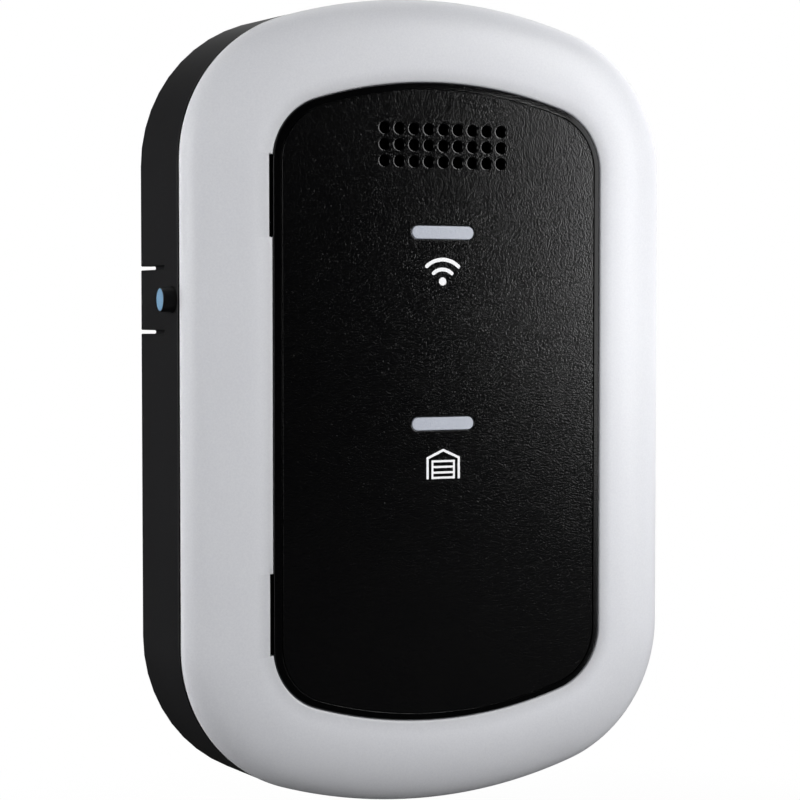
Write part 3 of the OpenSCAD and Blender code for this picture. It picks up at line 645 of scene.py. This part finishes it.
# %% Strokes of ink
def stroke(path, width, round_ends=False, n=10):
    """Outline of a stroke: the path moved half a width to its left, then back along its right. At a bend
    the two sides' directions are added and divided by one plus their dot product, which is the mitre."""
    path = np.asarray(path, float)
    along = np.diff(path, axis=0)
    along /= np.linalg.norm(along, axis=1)[:, None]
    left = np.c_[-along[:, 1], along[:, 0]]
    before, after = np.vstack([left[:1], left]), np.vstack([left, left[-1:]])
    mitre = (before + after) / (1 + (before * after).sum(axis=1))[:, None]
    sides = [path + mitre * width / 2, (path - mitre * width / 2)[::-1]]
    if not round_ends:
        return np.concatenate(sides)
    caps = []
    for tip, out in ((path[-1], left[-1]), (path[0], -left[0])):
        a = math.atan2(out[1], out[0]) - np.linspace(0, math.pi, n)[1:-1]
        caps.append(tip + width / 2 * np.c_[np.cos(a), np.sin(a)])
    return np.concatenate([sides[0], caps[0], sides[1], caps[1]])


def printed(name, loops):
    """Flat plates of ink on the cover: each outline becomes a front, a back and a wall between them."""
    levels = (cover_face, face_d - INK_T)
    points = [np.c_[loop[:, 0], np.full(len(loop), -d), loop[:, 1]] for loop in loops for d in levels]
    faces = []
    start = 0
    for loop in loops:
        number = start + np.arange(2 * len(loop)).reshape(2, -1)
        faces += [number[:1], number[1:, ::-1], grid_faces(2, len(loop)) + start]
        start += 2 * len(loop)
    piece = build(name, np.concatenate(points), faces)
    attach(piece, "unit")
    return piece


# %% [markdown]
# A dot and two arcs with round ends make the wireless sign. The arcs' centres lie a little below the dot.

# %% Wireless sign
WAVE_X, WAVE_Z = -0.15 * MM, 22.8 * MM
WAVE_DOT, WAVE_STROKE = 0.76 * MM, 0.7 * MM
WAVE_HALF, WAVE_N = 42, 40
WAVES = ((2.85 * MM, 0.6 * MM), (4.95 * MM, 0.86 * MM))

swing = np.radians(np.linspace(90 + WAVE_HALF, 90 - WAVE_HALF, WAVE_N))
waves = [
    stroke(np.c_[WAVE_X + r * np.cos(swing), WAVE_Z - low + r * np.sin(swing)], WAVE_STROKE, round_ends=True)
    for r, low in WAVES
]
wireless_sign = printed("wireless_sign", waves + [circle(WAVE_X, WAVE_Z, WAVE_DOT)])

# %% [markdown]
# A gabled outline, a door frame and three slats make the garage sign.

# %% Garage sign
SIGN_TOP, SIGN_EAVES, SIGN_FOOT = -8.9 * MM, -10.35 * MM, -14.3 * MM
SIGN_HALF, SIGN_STROKE = 3.27 * MM, 0.46 * MM
DOOR_HALF, DOOR_TOP, DOOR_STROKE = 2.25 * MM, -10.98 * MM, 0.4 * MM
SLATS = (-12.05 * MM, -13.1 * MM, -14.08 * MM)

house = [
    (-SIGN_HALF, SIGN_FOOT), (-SIGN_HALF, SIGN_EAVES), (0, SIGN_TOP), (SIGN_HALF, SIGN_EAVES),
    (SIGN_HALF, SIGN_FOOT),
]
door = [(-DOOR_HALF, SIGN_FOOT), (-DOOR_HALF, DOOR_TOP), (DOOR_HALF, DOOR_TOP), (DOOR_HALF, SIGN_FOOT)]
slat_half = DOOR_HALF - DOOR_STROKE / 2
strokes = [stroke(house, SIGN_STROKE), stroke(door, DOOR_STROKE)]
strokes += [stroke([(-slat_half, z), (slat_half, z)], DOOR_STROKE) for z in SLATS]
garage_sign = printed("garage_sign", strokes)

# %% [markdown]
# ## Screen-printed ink
# Screen ink is a matt white that lets a hint of the dark grain through where it lies thin. A fine noise
# gives the slight unevenness of its cover.

# %% Material of the signs
ink = moulded("screen_ink_white", ("#EEEEF0", "#FAFAFB"), (0.5, 0.6), 0.3 * MM, 0.004 * MM)
dress(wireless_sign, ink)
dress(garage_sign, ink)

# %% [markdown]
# ## Edges of the moulded and pressed parts
# The casing, bracket and connectors have the right shape in the frame, but CAD edges are perfectly sharp,
# and no real edge is. A copy of the node gets its triangles merged and its flat faces joined, and then a
# Bevel modifier rounds what is sharp, so that each edge catches light. The node itself isn't changed.

# %% Copies with rounded edges
CAD_MERGE, FLAT = 1e-6, 1


def rounded_copy(node, name, radius, body="unit", segments=2):
    """A copy of a CAD node: doubles merged, flat triangles joined, sharp edges rounded."""
    mesh = nodes[node].data.copy()
    mesh.name = name
    shell = bmesh.new()
    shell.from_mesh(mesh)
    bmesh.ops.remove_doubles(shell, verts=shell.verts, dist=CAD_MERGE)
    bmesh.ops.dissolve_limit(
        shell, angle_limit=math.radians(FLAT), verts=shell.verts, edges=shell.edges,
    )
    shell.to_mesh(mesh)
    shell.free()
    smooth(mesh)
    piece = put(name, mesh)
    bevel = piece.modifiers.new("edge", "BEVEL")
    bevel.width = radius
    bevel.segments = segments
    bevel.limit_method = "ANGLE"
    bevel.angle_limit = math.radians(SHARP)
    bevel.use_clamp_overlap = False
    bevel.harden_normals = True
    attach(piece, body)
    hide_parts(node)
    print(name, "has", len(mesh.polygons), "faces before its edges are rounded")
    return piece


casing = rounded_copy("rear_housing", "moulded_casing", 0.2 * MM, segments=3)
bracket = rounded_copy("wall_bracket", "moulded_bracket", 0.25 * MM, body="bracket")

# %% [markdown]
# ## The painted shade between casing and ring
# Below the ring the casing steps back, and a black strip lies in the step. It is painted shade: it stands in
# for the shadow in the gap and hides the joint, so that the eye sees a thin, even black line that parts the
# white ring from the casing. It is a rectangular section carried round the outline, matt black with hardly
# any sheen.

# %% Shape and material of the strip of painted shade
# A black strip of painted shade in the step below the ring, where the gap lies in shadow.
SHADE_STRIP_IN, SHADE_STRIP_OUT, SHADE_STRIP_D, SHADE_STRIP_GAP = 0.04 * MM, 0.65 * MM, 1.0 * MM, 0.03 * MM

shade_strip_path = outline_path([], 0)
shade_strip_u = ring_ledge + np.array([SHADE_STRIP_IN, SHADE_STRIP_OUT, SHADE_STRIP_OUT, SHADE_STRIP_IN])
shade_strip_depth = casing_d - np.array([SHADE_STRIP_GAP, SHADE_STRIP_GAP, SHADE_STRIP_D, SHADE_STRIP_D])
around = np.ones(len(shade_strip_path[0]))
shade_strip = build(
    "rubber_seal", swept(shade_strip_u[:, None] * around, shade_strip_depth[:, None] * around, shade_strip_path),
    [grid_faces(len(shade_strip_u), len(around), close_rows=True)],
)
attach(shade_strip, "unit")
# Matt black with hardly any sheen, so that the strip shows as the gap's shadow.
shade_strip_black = moulded(
    "painted_shade_black", ("#020202", "#060606"), (0.85, 0.95), 0.3 * MM, 0.01 * MM,
    Specular_IOR_Level=0.15, IOR=1.5,
)
dress(shade_strip, shade_strip_black)

# %% [markdown]
# ## Satin ABS
# The casing comes from a mould that was sparked to a satin finish, much shallower than the cover's grain. Its
# black is a dark neutral grey with a soft reflection of what stands around it. The bracket, hidden behind,
# has the plainer surface of a cheaper mould.

# %% Materials of the casing and bracket
satin = moulded(
    "satin_abs", ("#131314", "#1A1A1B"), (0.36, 0.46), 0.25 * MM, 0.006 * MM, blotch=15 * MM,
    Specular_IOR_Level=0.4, IOR=1.53,
)
bracket_abs = moulded("bracket_abs", ("#1A1A1B", "#262627"), (0.5, 0.62), 0.4 * MM, 0.015 * MM, IOR=1.53)
dress(casing, satin)
dress(bracket, bracket_abs)

# %% [markdown]
# ## The light pipes
# Two frosted bars carry the status lamps' light to the face. They are clear plastic with a scattering
# filler, sunk a little below the face, so that their rims lie in shade.

# %% Light pipes and their material
frosted = moulded(
    "frosted_polycarbonate", ("#AEB3BE", "#B8BCC6"), (0.4, 0.5), 0.3 * MM, 0.004 * MM,
    Subsurface_Weight=0.3, Subsurface_Radius=(1.0, 1.0, 1.1), Subsurface_Scale=1 * MM, IOR=1.585,
)
for node, name in (("wifi_light_pipe", "wifi_lamp_bar"), ("door_light_pipe", "door_lamp_bar")):
    pipe = rounded_copy(node, name, 0.2 * MM)
    dress(pipe, frosted)

# %% [markdown]
# ## The side button
# The push button is a small turned shape: a black shaft with a flange inside the casing, and a pale blue
# disc set into its end. Cylinders could be joined and bevelled, but a profile carried round the button's
# axis gives flange, rounded lip and recess at once, and the disc's slight crown too.

# %% Side button and its disc
BUTTON_R, FLANGE_R, FLANGE_T = 2.25 * MM, 2.9 * MM, 0.8 * MM
BUTTON_EDGE, LIP_N, CROWN_N = 0.12 * MM, 5, 6
DISC_R, DISC_T, DISC_CROWN, DISC_GAP = 2.05 * MM, 0.6 * MM, 0.08 * MM, 0.03 * MM

tip = reach("side_button", "x", 0)
button_end = reach("side_button", "x", 1)
button_d = -(reach("side_button", "y", 0) + reach("side_button", "y", 1)) / 2
axis_at = (0, -button_d, button_z)
flange = -half_w + WALL
turn = np.linspace(0, math.pi / 2, LIP_N)
lip = np.c_[tip + BUTTON_EDGE * (1 - np.sin(turn)), BUTTON_R - BUTTON_EDGE * (1 - np.cos(turn))]
shaft = np.vstack([
    [(button_end, 0), (button_end, BUTTON_R), (flange + FLANGE_T, BUTTON_R), (flange + FLANGE_T, FLANGE_R)],
    [(flange, FLANGE_R), (flange, BUTTON_R)], lip, [(tip, DISC_R), (tip + DISC_T, DISC_R), (tip + DISC_T, 0)],
])
side_button = turned("push_button", shaft, axis_at, "x")
bow = np.linspace(0, 1, CROWN_N)
disc_edge = DISC_R - DISC_GAP
front = np.c_[tip + DISC_CROWN * bow ** 2, disc_edge * bow]
insert = np.vstack([front, [(tip + DISC_T, disc_edge), (tip + DISC_T, 0)]])
disc = turned("button_disc", insert, axis_at, "x")
for piece, node, slot in (
    (side_button, "side_button", "button_black"), (disc, "side_button_disc", "button_blue"),
):
    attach(piece, "button")
    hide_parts(node)

# %% [markdown]
# ## Button plastics
# The shaft is polished black acetal; the disc is a pale blue acetal insert with a soft gloss.

# %% Materials of the button
button_black = moulded("acetal_black", ("#0C0C0D", "#151516"), (0.3, 0.38), 0.3 * MM, 0.003 * MM, IOR=1.48)
button_blue = moulded("acetal_blue", ("#597E9C", "#668AA7"), (0.35, 0.45), 0.3 * MM, 0.004 * MM, IOR=1.48)
dress(side_button, button_black)
dress(disc, button_blue)

# %% [markdown]
# ## Inside and behind
# Everything else is seen only from behind, through the connector bay, or not at all. The connectors and
# screws get rounded edges; the parts on the board keep their CAD shapes. All get the look of what they are.

# %% Connectors and screws
for node, name, radius, slot in (
    ("terminal_block", "screw_terminal", 0.25 * MM, "terminal_green"),
    ("dc_jack", "power_jack", 0.25 * MM, "jack_black"),
    ("terminal_screws", "terminal_screw_pair", 0.12 * MM, "screw_steel"),
    ("casing_screws", "casing_screw_set", 0.15 * MM, "screw_steel"),
):
    piece = rounded_copy(node, name, radius)

# %% [markdown]
# ## Plastics of the inner parts
# Small parts are moulded too, from harder and plainer plastics: nylon for the terminal block and relay,
# epoxy for the chips, foam for the gasket. They share the recipe of the casing with other colours and grain.

# %% Materials of the inner plastic parts
inner_plastics = {
    "terminal_block": ("nylon_green", ("#2E7A4C", "#3A8A58"), (0.4, 0.5), 0.4 * MM, 0.006 * MM),
    "dc_jack": ("nylon_black", ("#101011", "#1A1A1B"), (0.35, 0.45), 0.3 * MM, 0.004 * MM),
    "opener_relay": ("relay_case_blue", ("#1D3F86", "#274C97"), (0.25, 0.35), 0.5 * MM, 0.003 * MM),
    "buzzer": ("buzzer_case_black", ("#121213", "#1C1C1D"), (0.35, 0.45), 0.4 * MM, 0.005 * MM),
    "buzzer_gasket": ("open_foam_black", ("#0B0B0B", "#232323"), (0.85, 0.95), 0.5 * MM, 0.12 * MM),
    "grille_cloth": ("woven_dust_cloth", ("#050505", "#131313"), (0.8, 0.95), 0.25 * MM, 0.05 * MM),
    "microcontroller": ("epoxy_black", ("#151516", "#202021"), (0.5, 0.65), 0.2 * MM, 0.006 * MM),
    "voltage_regulator": ("epoxy_black_rough", ("#171718", "#232324"), (0.55, 0.7), 0.25 * MM, 0.008 * MM),
    "power_inductor": ("ferrite_grey", ("#3A3A3D", "#4B4B4E"), (0.6, 0.75), 0.3 * MM, 0.01 * MM),
    "button_switch": ("switch_case_black", ("#131314", "#1D1D1E"), (0.4, 0.5), 0.3 * MM, 0.005 * MM),
    "switch_plunger": ("acetal_white", ("#D8D6CC", "#E6E4DB"), (0.35, 0.45), 0.3 * MM, 0.004 * MM),
    "ring_leds": ("phosphor_yellow", ("#E3C24E", "#F0D777"), (0.4, 0.5), 0.2 * MM, 0.004 * MM),
    "status_leds": ("phosphor_pale", ("#E8D890", "#F3E8B4"), (0.4, 0.5), 0.2 * MM, 0.004 * MM),
}
shown = {"terminal_block": "screw_terminal", "dc_jack": "power_jack"}
for node, recipe in inner_plastics.items():
    target = bpy.data.objects[shown[node]] if node in shown else nodes[node]
    dress(target, moulded(*recipe))

# %% [markdown]
# ## Metals
# A metal's colour is in its reflection. Screws are zinc-plated steel, faintly mottled by the bath; the
# shield is tinned steel, rolled along one direction; pin, aerial and capacitor cans are brass, copper and
# drawn aluminium. One recipe serves them all: a noise stretched along the working direction varies the gloss.

# %% Materials of the metal parts
MARK_DEPTH, MARK_STRENGTH = 0.004 * MM, 0.5


def worked_metal(name, colours, roughness, stretch, grain):
    """Metal with working marks: noise drawn out along the direction in which stretch is small."""
    material, tree, shader, place = blank(name)
    lay = add(tree, "ShaderNodeMapping", {"Scale": stretch}, {"Vector": place})
    marks = add(tree, "ShaderNodeTexNoise", {"Scale": 1 / grain, "Detail": 4}, {"Vector": lay.outputs[0]})
    tone = add(tree, "ShaderNodeValToRGB", None, {"Fac": marks.outputs["Fac"]})
    dark, pale = tone.color_ramp.elements
    dark.color, pale.color = map(linear, colours)
    surface(
        tree, shader, tone.outputs["Color"], marks.outputs["Fac"], roughness, MARK_DEPTH, MARK_STRENGTH,
    )
    shader.inputs["Metallic"].default_value = 1
    return material


zinc = worked_metal("zinc_plated_steel", ("#8E9094", "#B4B6BA"), (0.25, 0.4), (1, 1, 1), 0.5 * MM)
dress(bpy.data.objects["casing_screw_set"], zinc)
dress(bpy.data.objects["terminal_screw_pair"], zinc)
inner_metals = {
    "wifi_shield": ("tinned_steel", ("#A7A9AC", "#C4C6C8"), (0.25, 0.4), (1, 1, 0.1), 0.3 * MM),
    "dc_jack_pin": ("plated_brass", ("#B9A77C", "#D2C193"), (0.2, 0.3), (1, 1, 0.1), 0.2 * MM),
    "radio_antenna": ("drawn_copper", ("#A8623B", "#C47C50"), (0.3, 0.4), (1, 1, 0.1), 0.2 * MM),
    "power_capacitors": ("drawn_aluminium", ("#B4B6B8", "#CFD1D3"), (0.25, 0.35), (1, 0.1, 1), 0.3 * MM),
}
for node, recipe in inner_metals.items():
    dress(nodes[node], worked_metal(*recipe))

# %% [markdown]
# ## Circuit boards
# A board is glass cloth in epoxy under a green or blue solder mask. Under the mask the copper tracks show
# as paler lines. Tracks run straight, side by side, so a brick pattern with long, narrow bricks stands for
# them: its thin joints are the gaps between the tracks.

# %% Materials of the boards
TRACK_L_MM, TRACK_W_MM, TRACK_GAP_MM = 9.0, 0.8, 0.14
TRACK_T = 0.03 * MM


def masked_board(name, mask, track):
    """Solder mask over copper tracks: a brick pattern in millimetres, seen through the mask."""
    material, tree, shader, place = blank(name)
    lay = add(tree, "ShaderNodeMapping", {"Rotation": (math.pi / 2, 0, 0)}, {"Vector": place})
    tracks = add(
        tree, "ShaderNodeTexBrick",
        {
            "Scale": 1 / MM, "Brick Width": TRACK_L_MM, "Row Height": TRACK_W_MM,
            "Mortar Size": TRACK_GAP_MM, "Mortar": linear(mask),
            "Color1": linear(track), "Color2": linear(mask),
        },
        {"Vector": lay.outputs[0]},
    )
    relief = add(
        tree, "ShaderNodeBump", {"Distance": TRACK_T}, {"Height": tracks.outputs["Fac"]}, invert=True,
    )
    tree.links.new(tracks.outputs["Color"], shader.inputs["Base Color"])
    tree.links.new(relief.outputs["Normal"], shader.inputs["Normal"])
    shader.inputs["Roughness"].default_value = 0.3
    return material


boards = {
    "main_board": ("green_solder_mask", "#14502F", "#1F6A41"),
    "wifi_module": ("blue_solder_mask", "#12264A", "#1C3763"),
    "radio_module": ("dark_green_solder_mask", "#123F28", "#1B5436"),
}
for node, recipe in boards.items():
    dress(nodes[node], masked_board(*recipe))

# %% [markdown]
# ## Background
# The photograph has a plain white ground. The world is white for what the camera, mirrors and glass see,
# and a softer grey for the light that it sheds.

# %% World
WORLD_LIGHT = 0.14


def white_to_the_camera(tree):
    """1 for rays from the camera, a reflection or a transmission, and 0 for light on other surfaces."""
    ray = add(tree, "ShaderNodeLightPath").outputs
    seen = ray["Is Camera Ray"]
    for kind in ("Is Glossy Ray", "Is Transmission Ray"):
        seen = add(tree, "ShaderNodeMath", None, {0: seen, 1: ray[kind]}, operation="MAXIMUM").outputs[0]
    return seen


world = bpy.data.worlds.new("white_studio")
world.use_nodes = True
sky = world.node_tree
glow = add(
    sky, "ShaderNodeMapRange", {"To Min": WORLD_LIGHT, "To Max": 1.0}, {"Value": white_to_the_camera(sky)},
)
background = sky.nodes["Background"]
background.inputs["Color"].default_value = (1, 1, 1, 1)
sky.links.new(glow.outputs["Result"], background.inputs["Strength"])
bpy.context.scene.world = world
print("world:", world.name, "with a light of", WORLD_LIGHT)

# %% [markdown]
# ## Floor
# The floor lies a little below the object, which hangs on its wall.

# %% Shape of the floor
FLOOR_SIZE, FLOOR_DROP = 6, 0.06
FLOOR_Z = -half_h - FLOOR_DROP


def flat_sheet(name, corners):
    """A flat sheet with four given corners."""
    mesh = bpy.data.meshes.new(name)
    mesh.from_pydata(corners.tolist(), [], [(0, 1, 2, 3)])
    return put(name, mesh)


floor_corners = np.array([(-1, -1), (1, -1), (1, 1), (-1, 1)]) * FLOOR_SIZE / 2
floor = flat_sheet("floor", np.c_[floor_corners, np.full(4, FLOOR_Z)])
floor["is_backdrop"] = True
print("floor at height in mm:", round(FLOOR_Z / MM, 1))

# %% [markdown]
# ## White paper
# The floor is matt paper with a faint fibre. It also shines by itself to the camera, less near the object,
# which leaves it white with a faint shadow. Little of its light goes back up to the object, whose lower edge
# is the darkest part of the ring.

# %% Material of the floor
FIBRE = 2 * MM
BOUNCE = 0.2
SHADOW_NEAR, SHADOW_FAR, SHADOW_SHINE = 0.16, 0.34, 0.68

paper, tree, shader, place = blank("white_paper")
shader.inputs["Roughness"].default_value = 0.9
fibre = add(tree, "ShaderNodeTexNoise", {"Scale": 1 / FIBRE, "Detail": 2}, {"Vector": place})
white = add(tree, "ShaderNodeValToRGB", None, {"Fac": fibre.outputs["Fac"]})
dark, pale = white.color_ramp.elements
dark.color, pale.color = linear("#E4E4E4"), linear("#ECECEC")
seen = white_to_the_camera(tree)
dim = add(tree, "ShaderNodeMapRange", {"To Min": BOUNCE, "To Max": 1.0}, {"Value": seen})
tint = add(
    tree, "ShaderNodeVectorMath", None, {0: white.outputs["Color"], "Scale": dim.outputs["Result"]},
    operation="SCALE",
)
tree.links.new(tint.outputs["Vector"], shader.inputs["Base Color"])
shine = add(tree, "ShaderNodeEmission", {"Color": (1, 1, 1, 1), "Strength": 1.0})
away = add(tree, "ShaderNodeVectorMath", None, {0: place}, operation="LENGTH")
ground = add(
    tree, "ShaderNodeMapRange",
    {"From Min": SHADOW_NEAR, "From Max": SHADOW_FAR, "To Min": SHADOW_SHINE, "To Max": 1.0},
    {"Value": away.outputs["Value"]},
)
share = add(tree, "ShaderNodeMath", None, {0: seen, 1: ground.outputs["Result"]}, operation="MULTIPLY")
mix = add(tree, "ShaderNodeMixShader", None, {0: share.outputs[0], 1: shader.outputs[0], 2: shine.outputs[0]})
tree.links.new(mix.outputs[0], tree.nodes["Material Output"].inputs["Surface"])
dress(floor, paper)

# %% [markdown]
# ## Light
# The light comes from the right in the photograph. A tall soft box stands to the front right and above,
# where the upper right of the cover mirrors its edge. Three small lamps close to the ring give it its slope
# from bright to less bright, and a narrow one at the left rear draws a bright line along its left edge. None
# of these four shows in reflections. Three wide boxes fill the left side and the back, and the one straight
# behind isn't mirrored either.

# %% Lamps
TARGET = Vector((0, -0.015, 0))


def soft_box(name, azimuth, elevation, distance, width, height, power, mirrored=True):
    """A rectangular lamp that faces the object: azimuth is to the right of the object's front, in degrees."""
    lamp = bpy.data.lights.new(name, "AREA")
    lamp.shape = "RECTANGLE"
    lamp.size, lamp.size_y, lamp.energy = width, height, power
    a, e = math.radians(azimuth), math.radians(elevation)
    box = put(name, lamp)
    way = Vector((math.sin(a) * math.cos(e), -math.cos(a) * math.cos(e), math.sin(e)))
    box.location = TARGET + distance * way
    box.rotation_euler = way.to_track_quat("Z", "Y").to_euler()
    box.visible_camera = False
    box.visible_glossy = mirrored


soft_box("key_right", 43.5, 20, 1.2, 0.42, 0.98, 8)
soft_box("near_right", 42, 8, 0.16, 0.08, 0.1, 0.138, mirrored=False)
soft_box("near_left", -75, 10, 0.28, 0.08, 0.12, 0.31, mirrored=False)
soft_box("edge_left", -148, 0, 0.9, 0.2, 0.5, 8, mirrored=False)
soft_box("top_right", 109, 49, 0.16, 0.08, 0.1, 0.075, mirrored=False)
soft_box("fill_left", -80, 8, 1.4, 0.8, 1.0, 7)
soft_box("back", 150, 62, 1.4, 0.9, 0.9, 2)
soft_box("behind", 172, 15, 1.2, 0.8, 0.8, 12, mirrored=False)

# %% [markdown]
# Black plastic is shaped by what it mirrors. In a white room it would look grey, so photographers hang
# black cards round it. Six cards of black felt, which swallows light, keep the white surroundings out of the
# cover and the casing's side. Only reflections can meet them: the camera doesn't see them and they throw no
# shadow.

# %% Dark cards
CARD_TOP, CARD_LIFT = 1.2, 1 * MM
CEILING_SHARE, CEILING_FORWARD = (0.5, 0.25), 0.8


def card_from(name, corners):
    """A card with four given corners that only reflections can meet."""
    card = flat_sheet(name, corners)
    card.visible_camera = card.visible_diffuse = card.visible_shadow = card.visible_transmission = False
    card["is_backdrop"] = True
    return card


def dark_card(name, azimuth, distance, width, top):
    """An upright card that stands on the floor and faces the object from azimuth."""
    a = math.radians(azimuth)
    way = np.array([math.sin(a), -math.cos(a)])
    across = np.array([way[1], -way[0]]) * width / 2
    ends = distance * way + np.array([-across, across])
    return card_from(name, np.c_[np.vstack([ends, ends[::-1]]), [FLOOR_Z, FLOOR_Z, top, top]])


felt = moulded("black_felt", ("#060606", "#0A0A0A"), (0.9, 1.0), 2 * MM, 0.1 * MM)
ceiling = floor_corners * CEILING_SHARE - [0, CEILING_FORWARD]
cards = [
    dark_card("card_front", -4, 1.3, 2.1, CARD_TOP),
    dark_card("card_far_left", -78, 1.6, 2.2, CARD_TOP),
    dark_card("card_left", -155, 0.9, 1.26, 0.8),
    dark_card("card_back", 160, 1.7, 0.9, 0.9),
    card_from("card_floor", np.c_[floor_corners / 2, np.full(4, FLOOR_Z + CARD_LIFT)]),
    card_from("card_ceiling", np.c_[ceiling, np.full(4, CARD_TOP)]),
]
for card in cards:
    dress(card, felt)

# %% [markdown]
# ## Boxes and view
# The largest difference between the box of the dressed part and the frame's box is printed. The
# dressed part has to stay inside the frame's box. The view transform is Standard, which shows colours
# as they were written.

# %% Sizes and finish
bpy.context.scene.view_settings.view_transform = "Standard"
visual_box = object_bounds()
difference = np.abs(np.subtract(visual_box, cad_box)).max()
print("largest difference of the boxes in mm:", round(difference / MM, 3))
